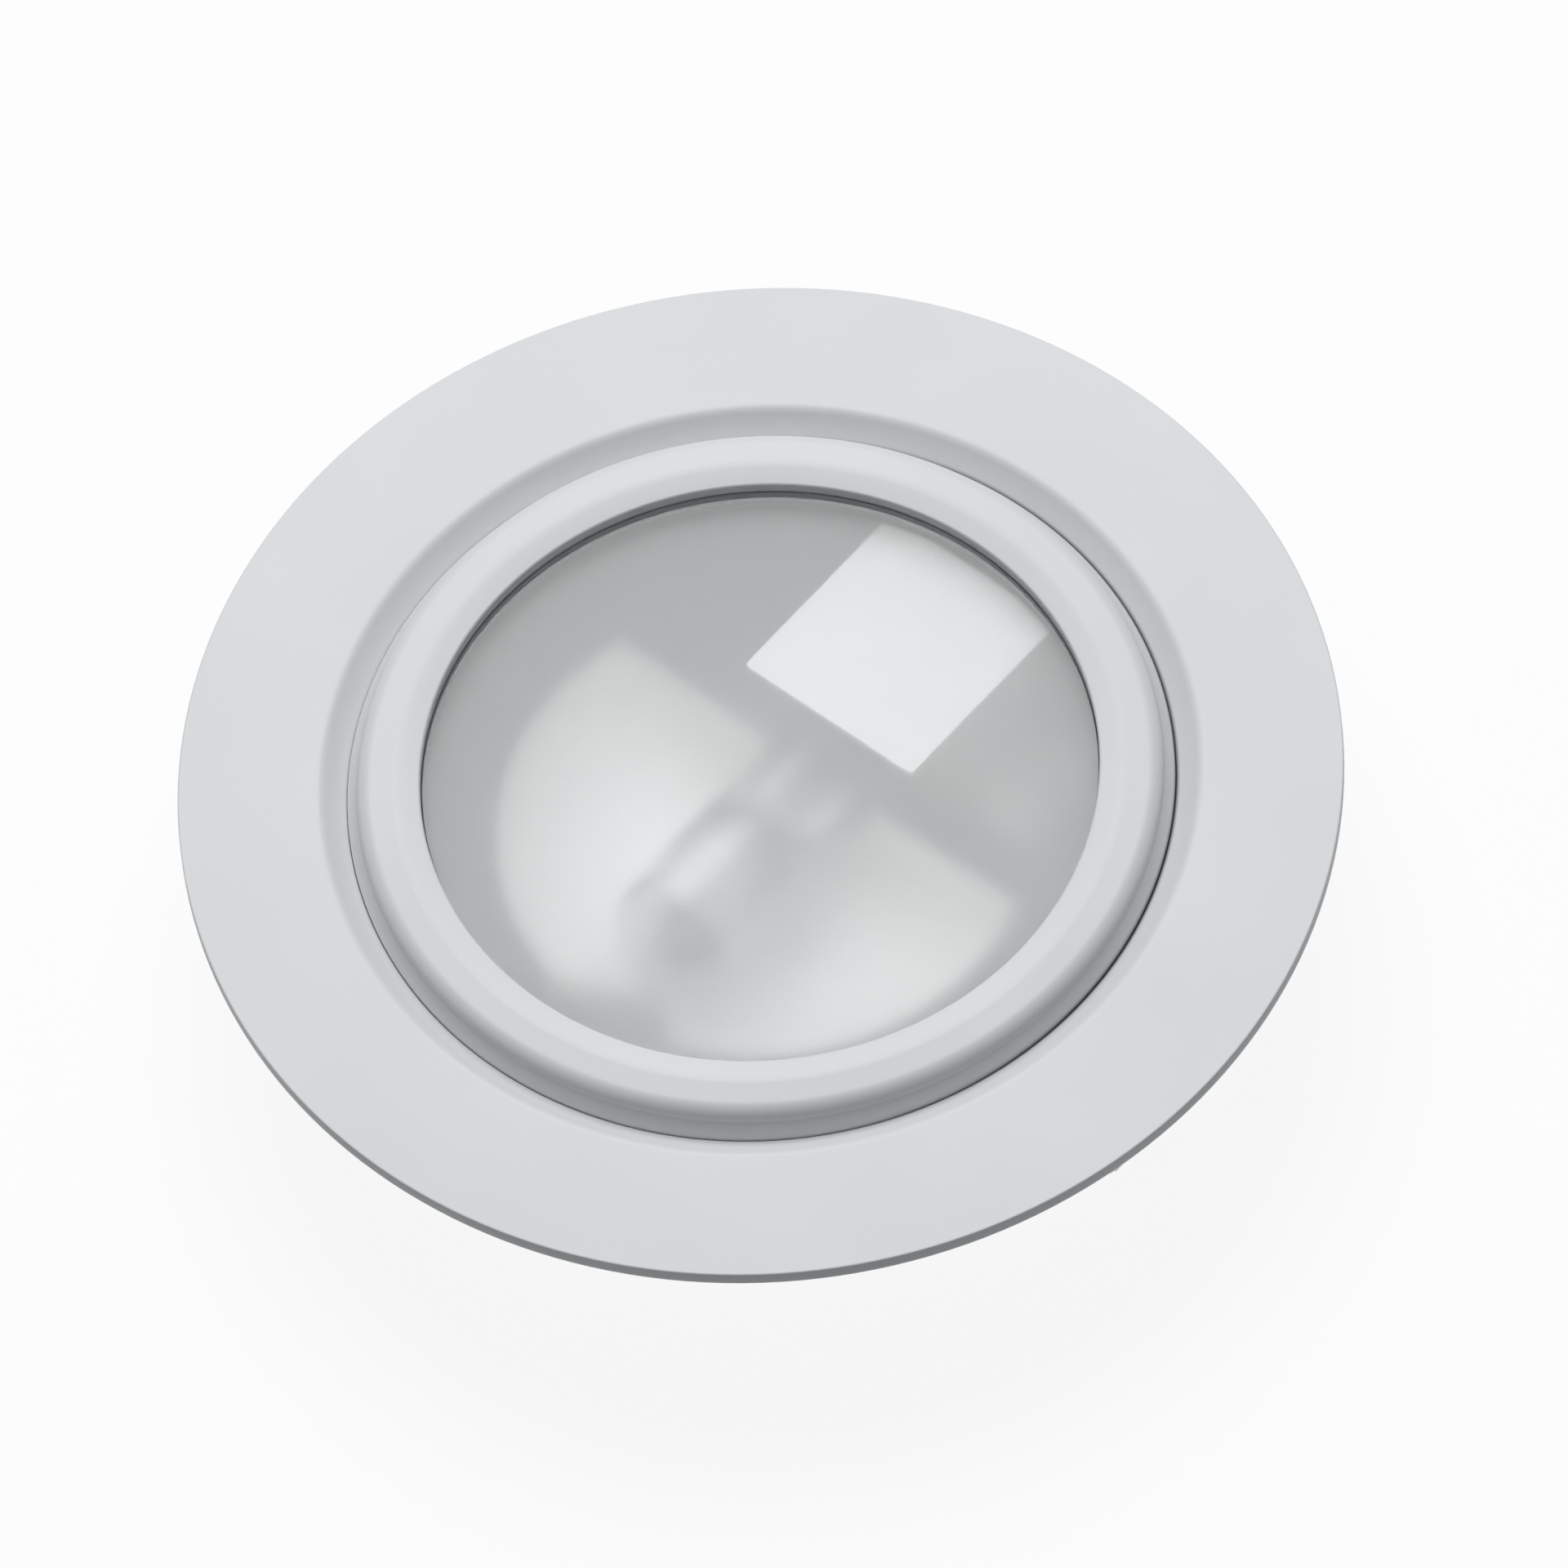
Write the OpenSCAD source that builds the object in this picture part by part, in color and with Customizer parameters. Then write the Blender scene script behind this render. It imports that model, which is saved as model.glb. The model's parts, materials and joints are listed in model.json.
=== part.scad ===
// Round recessed furniture light with a frosted glass and a 12 V capsule lamp.
// Millimetres. +Z points out of the lit face, z = 0 is the flange's back, which lies on the panel.
// The lamp lies along X, with its lampholder at +X. The spring clips stand at +Y and -Y.

/* [Trim flange] */
// Outer diameter of the flange
flange_d = 78; // [76:1:90]
// Thickness of the flange
flange_t = 1.5; // [1.3:0.1:2.5]
// Height of the rounding at the flange's outer edge
rim_round = 0.2; // [0.15:0.05:1]
// Radial width of that rounding
rim_w = 0.4; // [0.2:0.1:1.4]
// Rounding of the crest inside the flat face
crest_round = 2.6; // [0.4:0.1:3]
// Radial width of the slope between the crest and the bezel
slope_w = 1.6; // [1:0.1:2]
// Depth of the slope's foot below the flange's face
slope_drop = 1.15; // [0.8:0.05:1.25]
// Wall of the collar that takes the bezel
collar_wall = 1.2; // [1:0.1:1.6]
// Depth of the bezel's seat below the flange's back
seat_depth = 4.4; // [4.2:0.1:5]
// Thickness of the seat ledge
ledge_t = 0.8; // [0.6:0.1:1]
// Radial width of the seat ledge
ledge_w = 1.4; // [1:0.1:1.8]
// Diameter of the cut-out that the light fits
cutout_d = 68; // [67:0.5:72]
// Radial clearance of the locating rib in the cut-out
cutout_clear = 0.25; // [0.1:0.05:0.4]
// Height of the locating rib behind the flange
rib_h = 3; // [2:0.1:3.2]
// Wall of the locating rib
rib_wall = 1; // [0.8:0.1:1.4]

/* [Bezel ring] */
// Diameter of the bezel's skirt
bezel_d = 55.4; // [54.8:0.1:56]
// Radial gap between the skirt and the collar
bezel_gap = 0.3; // [0.25:0.05:0.4]
// Height of the bezel's top above the flange's face
bezel_rise = 1.15; // [1:0.05:2.6]
// Height of the rounding at the bezel's outer shoulder
shoulder_round = 0.96; // [0.8:0.02:1.3]
// Radial width of that rounding
shoulder_w = 1.2; // [0.8:0.1:1.6]
// How far the bezel's outer wall leans in
wall_lean = 0.68; // [0.4:0.02:1]
// Diameter of the opening over the glass
opening_d = 45.6; // [44:0.1:46.4]
// Rounding of the opening's edge
opening_round = 0.25; // [0.2:0.05:0.8]
// How far the bezel's top falls towards the opening
top_fall = 0.35; // [0:0.01:0.4]

/* [Lens] */
// Depth of the glass below the bezel's top
lens_drop = 1.05; // [0.95:0.05:1.25]
// Thickness of the glass
lens_t = 2.2; // [2:0.1:2.4]
// Radial overlap of the glass behind the opening's edge
lens_overlap = 2.7; // [2.3:0.1:2.9]
// Radial clearance around the glass
lens_clear = 0.15; // [0.1:0.05:0.25]
// Thickness of the gasket behind the glass
gasket_t = 0.7; // [0.5:0.05:0.75]
// Radial width of the gasket
gasket_w = 2.65; // [1.5:0.05:2.7]
// Wire diameter of the circlip behind the gasket
circlip_wire = 1; // [0.8:0.1:1]
// Open angle of the circlip
circlip_open = 40; // [20:5:60]
// Wire diameter of the snap ring around the skirt
snap_wire = 1; // [0.9:0.1:1.1]
// Depth of the snap ring below the flange's back
snap_depth = 3.3; // [3.2:0.1:3.5]
// Open angle of the snap ring
snap_open = 14; // [8:2:30]
// Clearance of both wire rings in their grooves
groove_clear = 0.05; // [0.03:0.01:0.1]

/* [Rear can] */
// Depth of the can behind the flange
can_depth = 13.6; // [13.5:0.1:15]
// Wall of the can
can_wall = 0.8; // [0.6:0.1:1]
// Rounding of the can's back edge
can_round = 2; // [1.4:0.1:2.4]
// Number of vent slots in the can's back
vent_count = 5; // [3:1:7]
// Width of a vent slot
vent_w = 1.6; // [1:0.1:2.2]
// Length of a vent slot
vent_l = 6; // [4:0.5:7]
// Distance of the vent slots from the axis, at their middle
vent_r = 21; // [20:0.5:22]

/* [Reflector] */
// Sheet thickness of the reflector
reflector_t = 0.5; // [0.4:0.05:0.6]
// Diameter of the reflector's flat floor
reflector_floor_d = 14; // [13:0.5:16]
// Diameter of the reflector's rim, inside
reflector_rim_d = 35.2; // [34:0.2:37]
// Depth of the reflector's rim below the seat ledge
reflector_rim_gap = 0.3; // [0.2:0.05:0.6]
// Distance of the reflector's straight wall from the axis
reflector_edge = 5.2; // [4.8:0.1:6]
// Clearance around the lamp where it passes the reflector's walls
lamp_pass = 0.6; // [0.4:0.1:0.8]

/* [Lamp] */
// Diameter of the lamp's envelope
lamp_d = 9; // [8.4:0.1:9.4]
// Length of the envelope's round part
bulb_l = 13.4; // [12.6:0.1:14.4]
// Distance of the lamp's tip from the axis of the light
lamp_tip = 12.9; // [12.4:0.1:13.4]
// Length of the envelope's domed end
dome_l = 2.2; // [1.8:0.1:2.6]
// Thickness of the quartz at the domed end
end_wall = 2.2; // [1.8:0.1:2.4]
// Depth of the lamp's axis below the flange's back
lamp_depth = 6.9; // [6.7:0.1:7.2]
// Wall of the quartz envelope
quartz_wall = 0.8; // [0.6:0.1:1]
// Length of the flat pinch
pinch_l = 10.5; // [9.5:0.1:11]
// Width of the flat pinch
pinch_w = 8; // [7.6:0.1:8.4]
// Thickness of the flat pinch
pinch_t = 3.4; // [3:0.1:3.8]
// Diameter of the lamp's pins
pin_d = 0.7; // [0.65:0.01:0.75]
// Length of the pins outside the pinch
pin_l = 7; // [6:0.1:7.5]
// Distance between the pins
pin_pitch = 4; // [3.9:0.05:4.1]
// Length of a pin inside the pinch
pin_seal = 3; // [2.5:0.1:3.5]
// Wire diameter of the filament
filament_wire = 0.2; // [0.16:0.01:0.24]
// Mean radius of the filament's coil
filament_r = 0.6; // [0.5:0.05:0.8]
// Turns of the filament
filament_turns = 5; // [4:1:5]
// Pitch of the filament's turns
filament_pitch = 0.66; // [0.64:0.01:0.7]

/* [Lampholder] */
// Length of the ceramic body along the lamp
holder_l = 10.6; // [10.4:0.1:11]
// Width of the ceramic body
holder_w = 12.8; // [12.4:0.1:13]
// Height of the ceramic body above the pins
holder_above = 3.6; // [3.3:0.1:3.7]
// Height of the ceramic body below the pins
holder_below = 4.6; // [4.2:0.1:4.8]
// Chamfer of the ceramic body's long edges
holder_chamfer = 0.6; // [0.3:0.1:0.9]
// Gap between the lamp's base and the ceramic body
lamp_gap = 0.2; // [0.1:0.05:0.4]
// Outer diameter of a contact sleeve
sleeve_d = 2.1; // [1.9:0.1:2.3]
// Radial clearance of a pin in its contact sleeve
pin_clear = 0.05; // [0.02:0.01:0.08]
// Side of the square terminal block
terminal_w = 2.6; // [2.4:0.1:2.8]
// Length of the terminal block
terminal_l = 3; // [2.8:0.1:3.2]
// Diameter of the wire entry in the terminal block
wire_entry_d = 1.4; // [1:0.1:1.6]
// Thread diameter of the terminal screws
terminal_screw_d = 1.8; // [1.6:0.1:2]
// Thread diameter of the lampholder's screws
holder_screw_d = 2; // [1.8:0.1:2.2]
// Distance between the lampholder's two screws
holder_screw_pitch = 9.4; // [9.2:0.1:9.6]
// Distance of those screws from the front of the ceramic body
holder_screw_x = 3.6; // [3:0.1:4.4]

/* [Lampholder shield] */
// Width of the shield
shield_w = 14.35; // [14.2:0.05:15]
// Distance of the shield's free edge from the axis of the light
shield_front = 7; // [6.6:0.1:8]
// Length of the shield's top
shield_l = 15.4; // [14:0.1:15.6]
// Sheet thickness of the shield
shield_t = 0.5; // [0.4:0.05:0.6]
// Slope of the shield's top, falling away from the glass
shield_slope = 2.5; // [1:0.1:3]
// Gap between the glass and the shield's free edge
shield_gap = 0.2; // [0.15:0.05:0.5]
// Length of the side cheeks and feet along the lamp
cheek_l = 7; // [6:0.1:8]
// Width of a foot
foot_w = 4; // [3.6:0.1:4.4]
// Thread diameter of the shield's screws
shield_screw_d = 2.5; // [2:0.1:2.5]

/* [Spring clips] */
// Width of a clip's bracket, over its ears
clip_w = 8.4; // [8.2:0.1:9]
// Sheet thickness of the bracket
bracket_t = 0.7; // [0.6:0.05:0.75]
// Radius of the bracket's ears around the pin
ear_r = 1.2; // [1.1:0.05:1.3]
// Diameter of the clip's pin
clip_pin_d = 1.4; // [1.2:0.1:1.4]
// Running clearance of the arm on the pin
clip_pin_clear = 0.05; // [0.03:0.01:0.08]
// Distance of the pin from the bracket's plate
pivot_out = 1.45; // [1.42:0.01:1.5]
// Height of the pin above the can's back
pivot_up = 3.7; // [2.8:0.1:4]
// Sheet thickness of the arm
arm_t = 0.6; // [0.5:0.05:0.65]
// Length of the arm from the pin to its rolled tip
arm_l = 5.6; // [5.4:0.1:6.6]
// Radius of the arm's rolled tip
arm_tip_r = 0.5; // [0.4:0.05:0.55]
// Outward lean of the arm at rest
arm_lean = 30; // [26:1:34]
// Side gap between the arm and the ears
arm_side_gap = 0.3; // [0.2:0.05:0.4]
// Wire diameter of the torsion spring
spring_wire = 0.5; // [0.4:0.05:0.5]
// Mean radius of the torsion spring
spring_r = 1.1; // [1.08:0.01:1.14]
// Whole turns of the torsion spring
spring_turns = 4; // [3:1:4]
// Length of the leg that lies along the bracket
fixed_leg = 1.9; // [1.2:0.1:2]
// Length of the leg that pushes the arm
moving_leg = 4.6; // [4:0.1:5]

/* [Cable inlet] */
// Bore of the cable grommet
inlet_bore_d = 3.4; // [2.6:0.1:3.6]
// Hole for the grommet in the can's wall
inlet_hole_d = 4.8; // [4.6:0.1:5]
// Outer diameter of the grommet
grommet_d = 6.2; // [6:0.1:6.4]
// How far the grommet stands out of the can, and into it
grommet_side = 1.3; // [1:0.1:1.5]
// Depth of the inlet below the flange's back
inlet_depth = 8.5; // [8.4:0.1:8.7]

/* [Rivets] */
// Shank diameter of the rivets
rivet_d = 1.6; // [1.2:0.1:1.8]
// Head diameter of the rivets
rivet_head_d = 2.4; // [2.2:0.1:2.6]
// Head height of the rivets
rivet_head_h = 0.6; // [0.4:0.1:0.7]
// Number of rivets between the can and the collar
body_rivet_count = 3; // [3:1:6]
// Depth of those rivets below the flange's back
body_rivet_depth = 1.5; // [1.4:0.1:1.6]

/* [Hidden] */
$fn = 96;

// Clearance of fixed pieces in their holes and on their seats
fit = 0.02;
// How far a cutting shape runs past what it cuts
past = 1;
// Clearance between the grommet and the collar
grommet_clear = 0.1;
// Straight steps in a rounded edge of a turned profile
arc_steps = 8;
// Rings to a turn of a wound wire, and sides of that wire
rings_per_turn = 8;
wire_sides = 6;

// Trim flange
flange_r = flange_d / 2;
bezel_r = bezel_d / 2;
collar_in = bezel_r + bezel_gap;
collar_out = collar_in + collar_wall;
crest_r = collar_in + slope_w;
foot_z = flange_t - slope_drop;
slope_angle = atan(slope_drop / slope_w);
crest_c = [crest_r + crest_round * tan(slope_angle / 2), flange_t - crest_round];
ledge_in = collar_in - ledge_w;
collar_bottom = -seat_depth - ledge_t;
rib_out = cutout_d / 2 - cutout_clear;
rib_in = rib_out - rib_wall;

// Bezel ring and lens
bezel_top = flange_t + bezel_rise;
opening_r = opening_d / 2;
shoulder_c = [bezel_r - wall_lean - shoulder_w, bezel_top - shoulder_round];
lip_c = [opening_r + opening_round, bezel_top - top_fall - opening_round];
lens_front = bezel_top - lens_drop;
lens_back = lens_front - lens_t;
lens_r = opening_r + lens_overlap;
pocket_r = lens_r + lens_clear;
gasket_back = lens_back - gasket_t;
circlip_z = gasket_back - circlip_wire / 2;
snap_c = (bezel_r + collar_in) / 2 + bezel_gap / 2;

// Rear can
can_in = collar_out + fit;
can_out = can_in + can_wall;
can_back = -can_depth;
can_floor = can_back + can_wall;
// Angle between neighbouring vent slots
vent_step = 18;

// Cable inlet
grommet_in = can_in - grommet_side;
grommet_out = can_out + grommet_side;

// Reflector
reflector_floor = can_floor + reflector_t;
reflector_rim_z = collar_bottom - reflector_rim_gap;
reflector_rise = reflector_rim_z - reflector_floor;
reflector_floor_r = reflector_floor_d / 2;
reflector_reach = reflector_rim_d / 2 - reflector_floor_r;
reflector_rivet_x = -2;
reflector_rivet_y = 4.6;

// Lamp
lamp_r = lamp_d / 2;
lamp_z = -lamp_depth;
bulb_end = -lamp_tip + bulb_l;
pip_l = 0.8;
pip_r = 0.9;
dome_x = -lamp_tip + pip_l + dome_l;
shoulder_l = 2.2;
cylinder_end = bulb_end - shoulder_l;
lamp_base = bulb_end + pinch_l;
cavity_r = lamp_r - quartz_wall;
cavity_x = -lamp_tip + pip_l + end_wall + dome_l;
cavity_end = cylinder_end + shoulder_l / 2;
cavity_neck_r = 2.2;
foil_t = 0.1;
foil_w = 1.6;
// Length of bare pinch before the foils
foil_inset = 1.2;
foil_start = bulb_end + foil_inset;
// Distance of the filament from the start of the cavity's dome
filament_shift = 0.6;
filament_x = cavity_x + filament_shift;
// The wire leaves the coil half a turn after its last whole turn
filament_wound = filament_turns + 1 / 2;
filament_half = filament_wound * filament_pitch / 2;

// Lampholder
holder_x = lamp_base + lamp_gap;
holder_back = holder_x + holder_l;
holder_bottom = lamp_z - holder_below;
holder_top = lamp_z + holder_above;
// Depth of a contact sleeve behind the face of the ceramic body
sleeve_inset = 0.6;
sleeve_x = holder_x + sleeve_inset;
// Room in the sleeve beyond the end of a pin
pin_spare = 0.3;
sleeve_end = lamp_base + pin_l + pin_spare;
// Radial clearance of a pin in the mouth of the ceramic body
mouth_clear = 0.3;
entry_d = pin_d + 2 * mouth_clear;
terminal_end = sleeve_end + terminal_l;
terminal_mid = sleeve_end + terminal_l / 2;
// Outward shift of a terminal block from its pin
terminal_shift = 0.1;
terminal_y = pin_pitch / 2 + terminal_shift;
screw_sink = 0.5;
holder_screw_at = holder_x + holder_screw_x;
// How far a screw's head stands out around its thread
head_over = 0.6;
holder_head_d = holder_screw_d + 2 * head_over;
holder_head_h = 0.9;
slot_w = 0.4;
slot_h = 0.35;

// Lampholder shield
shield_front_z = lens_back - shield_gap;
shield_end = shield_front + shield_l;
// Clearance of the shield's rounded end from the gasket
shield_clear = 0.2;
shield_reach = lens_r - gasket_w - shield_clear;
// Distance of the cheeks behind the face of the ceramic body
cheek_inset = 1.2;
cheek_x0 = holder_x + cheek_inset;
cheek_x1 = cheek_x0 + cheek_l;
cheek_out = shield_w / 2;
shield_screw_x = (cheek_x0 + cheek_x1) / 2;
// Outward shift of a shield screw from the middle of its foot
foot_screw_shift = 0.1;
shield_screw_y = cheek_out + foot_w / 2 + foot_screw_shift;
shield_head_d = 3.4;
shield_head_h = 1.2;
function shield_z(x) = shield_front_z - (x - shield_front) * tan(shield_slope);

// Spring clips
plate_out = can_out + fit + bracket_t;
ear_root = can_out + bracket_t / 2;
pivot_y = plate_out + pivot_out;
pivot_z = can_back + pivot_up;
ear_in = clip_w / 2 - bracket_t;
arm_w = 2 * (ear_in - arm_side_gap);
lug_r = ear_r;
arm_tail = 1.5;
// Gap between the spring's turns and the edge of the arm's plate
arm_plate_gap = 0.3;
arm_plate_start = spring_r + spring_wire / 2 + arm_plate_gap;
bracket_low = 2.4;
bracket_high = 5.4;
// How far a head of the pin stands out around it
clip_head_over = 0.35;
clip_head_r = clip_pin_d / 2 + clip_head_over;
clip_head_t = 0.4;
clip_rivet_up = 4;
clip_rivet_angle = 4.2;
// Gap at each end of the spring's turns
spring_end_gap = 0.15;
spring_span = arm_w - 2 * arm_t - spring_wire - 2 * spring_end_gap;
// Gap between the spring's moving leg and the arm
leg_gap = 0.03;
leg_turn_in = asin((spring_r - arm_t / 2 - spring_wire / 2 - leg_gap) / moving_leg);
wind_end = 180 - arm_lean - leg_turn_in - 360 * spring_turns;
wind_steps = ceil((180 - wind_end) / 360 * rings_per_turn);

// Points along an elliptical arc with two half axes
function oval_arc(c, half, from, to) = [
    for (i = [0:arc_steps])
        let (a = from + (to - from) * i / arc_steps)
        c + [half.x * cos(a), half.y * sin(a)]
];

function arc(c, r, from, to) = oval_arc(c, [r, r], from, to);

// Least distance between parts of a wire that are more than half a turn apart, less the wire itself
function least_gap(path, d) = min([
    for (i = [0:len(path) - 1], j = [i + rings_per_turn / 2:1:len(path) - 1])
        norm(path[i] - path[j])
]) - d;

function unit(v) = v / norm(v);

function heading(path, i) = unit(path[min(i + 1, len(path) - 1)] - path[max(i - 1, 0)]);

// Torsion spring around the pin: a leg along the bracket, the turns, and a leg along the arm
spring_turn_path = [
    for (i = [0:wind_steps])
        let (a = 180 + (wind_end - 180) * i / wind_steps, x = spring_span * (i / wind_steps - 1 / 2))
        [x, pivot_y + spring_r * cos(a), pivot_z + spring_r * sin(a)]
];
spring_first = spring_turn_path[0];
spring_last = spring_turn_path[wind_steps];
leg_way = [0, sin(arm_lean + leg_turn_in), cos(arm_lean + leg_turn_in)];
spring_path = concat(
    [spring_first - [0, 0, fixed_leg], spring_first - [0, 0, spring_wire]],
    spring_turn_path,
    [spring_last + spring_wire * leg_way, spring_last + moving_leg * leg_way]
);

// Filament across the lamp: a leg from the pinch, the turns, and a leg back
filament_steps = filament_wound * rings_per_turn;
filament_turn_path = [
    for (i = [0:filament_steps])
        let (a = 90 + 360 * i / rings_per_turn, y = filament_pitch * i / rings_per_turn - filament_half)
        [filament_x + filament_r * cos(a), y, lamp_z + filament_r * sin(a)]
];
filament_first = filament_turn_path[0];
filament_last = filament_turn_path[filament_steps];
filament_path = concat(
    [[cavity_end - fit, filament_first.y, filament_first.z], filament_first + [filament_wire, 0, 0]],
    filament_turn_path,
    [filament_last + [filament_wire, 0, 0], [cavity_end - fit, filament_last.y, filament_last.z]]
);

echo(clip_spring_least_gap = least_gap(spring_path, spring_wire));
echo(filament_least_gap = least_gap(filament_path, filament_wire));

// Solid of revolution around Z from radius and height pairs
module turned(profile) {
    rotate_extrude() polygon(profile);
}

// Ring between two radii and two heights
module ring(r_in, r_out, low, high) {
    difference() {
        translate([0, 0, low]) cylinder(r = r_out, h = high - low);
        translate([0, 0, low - past]) cylinder(r = r_in, h = high - low + 2 * past);
    }
}

// Outline in X and Z, stretched along Y
module standing(outline, y_low, y_high) {
    translate([0, y_high, 0]) rotate([90, 0, 0]) linear_extrude(y_high - y_low) polygon(outline);
}

// Shallow dome that stands on z = 0
module dome(d, h) {
    ball = (d * d / 4 + h * h) / (2 * h);
    intersection() {
        translate([0, 0, h - ball]) sphere(ball);
        cylinder(d = d, h = h);
    }
}

// Cylinder along a radius of the light, at a height and a bearing
module radial(bearing, z, r_from, r_to, d) {
    rotate([0, 0, bearing]) translate([r_from, 0, z]) rotate([0, 90, 0]) cylinder(d = d, h = r_to - r_from);
}

// Dome-headed rivet along a radius, with its head outside
module radial_rivet(bearing, z, r_from, r_seat) {
    radial(bearing, z, r_from, r_seat, rivet_d);
    rotate([0, 0, bearing]) translate([r_seat, 0, z]) rotate([0, 90, 0]) dome(rivet_head_d, rivet_head_h);
}

// Open ring of round wire
module wire_ring(r, z, wire, open) {
    rotate([0, 0, open / 2]) rotate_extrude(angle = 360 - open) translate([r, z]) circle(d = wire);
}

// Tube of round wire along a path, which never runs along the axis given
module wound_wire(path, axis, d) {
    rings = len(path);
    points = [
        for (i = [0:rings - 1])
            let (way = heading(path, i), side = unit(cross(way, axis)), up = cross(side, way))
            for (k = [0:wire_sides - 1])
                let (a = 360 * k / wire_sides)
                path[i] + d / 2 * (cos(a) * side + sin(a) * up)
    ];
    last = (rings - 1) * wire_sides;
    walls = [
        for (i = [0:rings - 2], k = [0:wire_sides - 1], half = [0, 1])
            let (a = i * wire_sides + k, b = i * wire_sides + (k + 1) % wire_sides)
            half == 0 ? [a, b, b + wire_sides] : [a, b + wire_sides, a + wire_sides]
    ];
    near_cap = [for (k = [1:wire_sides - 2]) [0, k + 1, k]];
    far_cap = [for (k = [1:wire_sides - 2]) [last, last + k, last + k + 1]];
    polyhedron(points, concat(walls, near_cap, far_cap));
}

// Upright screw through the can's back, with a slotted dome head that sits at a height
module dome_screw(seat_z, d, head_d, head_h) {
    translate([0, 0, can_back + fit]) cylinder(d = d, h = seat_z - can_back - fit);
    translate([0, 0, seat_z]) difference() {
        dome(head_d, head_h);
        translate([-head_d, -slot_w / 2, head_h - slot_h]) cube([2 * head_d, slot_w, slot_h + past]);
    }
}

// Both signs of Y, for pieces that come in pairs across the lamp
module both_sides() {
    children();
    mirror([0, 1, 0]) children();
}

// Hole through the can's back at a place in both halves
module floor_holes(x, y, d) {
    both_sides() translate([x, y, can_back - past]) cylinder(d = d + 2 * fit, h = can_wall + 2 * past);
}

// Bearings of the body rivets, the first of them off the cable inlet, and of the clips' rivets
first_bearing = 60;
body_bearings = [for (i = [0:body_rivet_count - 1]) first_bearing + i * 360 / body_rivet_count];
clip_bearings = [for (middle = [90, 270], turn = [-clip_rivet_angle, clip_rivet_angle]) middle + turn];

module trim_flange() {
    profile = concat(
        [[flange_r, 0]],
        oval_arc([flange_r - rim_w, flange_t - rim_round], [rim_w, rim_round], 0, 90),
        arc(crest_c, crest_round, 90, 90 + slope_angle),
        [[collar_in, foot_z], [collar_in, -seat_depth], [ledge_in, -seat_depth], [ledge_in, collar_bottom]],
        [[collar_out, collar_bottom], [collar_out, 0]],
        [[rib_in, 0], [rib_in, -rib_h], [rib_out, -rib_h], [rib_out, 0]]
    );
    color("whitesmoke") difference() {
        turned(profile);
        rotate_extrude() translate([snap_c, -snap_depth]) circle(d = snap_wire + 2 * groove_clear);
        for (b = body_bearings)
            radial(b, -body_rivet_depth, collar_in + fit, collar_out + past, rivet_d + 2 * fit);
        radial(0, -inlet_depth, grommet_in - past, can_out + past, grommet_d + 2 * grommet_clear);
    }
}

module rear_can() {
    inner_round = can_round - can_wall;
    outer = concat(
        [[0, can_back]],
        arc([can_out - can_round, can_back + can_round], can_round, -90, 0),
        [[can_out, 0], [0, 0]]
    );
    inner = concat(
        [[0, can_floor]],
        arc([can_in - inner_round, can_floor + inner_round], inner_round, -90, 0),
        [[can_in, past], [0, past]]
    );
    color("gainsboro") difference() {
        turned(outer);
        turned(inner);
        for (b = body_bearings) radial(b, -body_rivet_depth, collar_in, can_out + past, rivet_d + 2 * fit);
        for (b = clip_bearings)
            radial(b, pivot_z + clip_rivet_up, can_in - past, can_out + past, rivet_d + 2 * fit);
        radial(0, -inlet_depth, can_in - past, can_out + past, inlet_hole_d);
        floor_holes(holder_screw_at, holder_screw_pitch / 2, holder_screw_d);
        floor_holes(shield_screw_x, shield_screw_y, shield_screw_d);
        floor_holes(reflector_rivet_x, reflector_rivet_y, rivet_d);
        for (i = [0:vent_count - 1])
            rotate([0, 0, 180 + (i - (vent_count - 1) / 2) * vent_step]) vent();
    }
}

// Cutting shape of one vent slot in the can's back, with round ends
module vent() {
    run = (vent_l - vent_w) / 2;
    deep = can_wall + 2 * past;
    translate([vent_r - run, -vent_w / 2, can_back - past]) cube([2 * run, vent_w, deep]);
    for (end = [-run, run])
        translate([vent_r + end, 0, can_back - past]) cylinder(d = vent_w, h = deep);
}

module body_rivets() {
    color("silver") for (b = body_bearings) radial_rivet(b, -body_rivet_depth, collar_in + 2 * fit, can_out);
}

module bezel_ring() {
    profile = concat(
        [[bezel_r, -seat_depth], [bezel_r, foot_z]],
        oval_arc(shoulder_c, [shoulder_w, shoulder_round], 0, 90),
        arc(lip_c, opening_round, 90, 180),
        [[opening_r, lens_front], [pocket_r, lens_front], [pocket_r, -seat_depth]]
    );
    color("white") difference() {
        turned(profile);
        rotate_extrude() translate([pocket_r, circlip_z]) circle(d = circlip_wire + 2 * groove_clear);
        rotate_extrude() translate([snap_c, -snap_depth]) circle(d = snap_wire + 2 * groove_clear);
    }
}

module lens_glass() {
    color("lightgray", 0.6) translate([0, 0, lens_back]) cylinder(r = lens_r, h = lens_t);
}

module lens_gasket() {
    color("dimgray") ring(lens_r - gasket_w, lens_r, gasket_back, lens_back);
}

module lens_circlip() {
    color("silver") wire_ring(pocket_r, circlip_z, circlip_wire, circlip_open);
}

module snap_ring() {
    color("silver") wire_ring(snap_c, -snap_depth, snap_wire, snap_open);
}

// Inside of the reflector's bowl, cut off straight at the lampholder, or its outside when grown by the sheet
module bowl(grow) {
    side = oval_arc(
        [reflector_floor_r, reflector_rim_z], [reflector_reach + grow, reflector_rise + grow], -90, 0);
    difference() {
        turned(concat([[0, reflector_floor - grow]], side, [[0, reflector_rim_z]]));
        translate([reflector_edge + grow, -can_out, can_back]) cube([can_out, 2 * can_out, can_depth]);
    }
}

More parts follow.
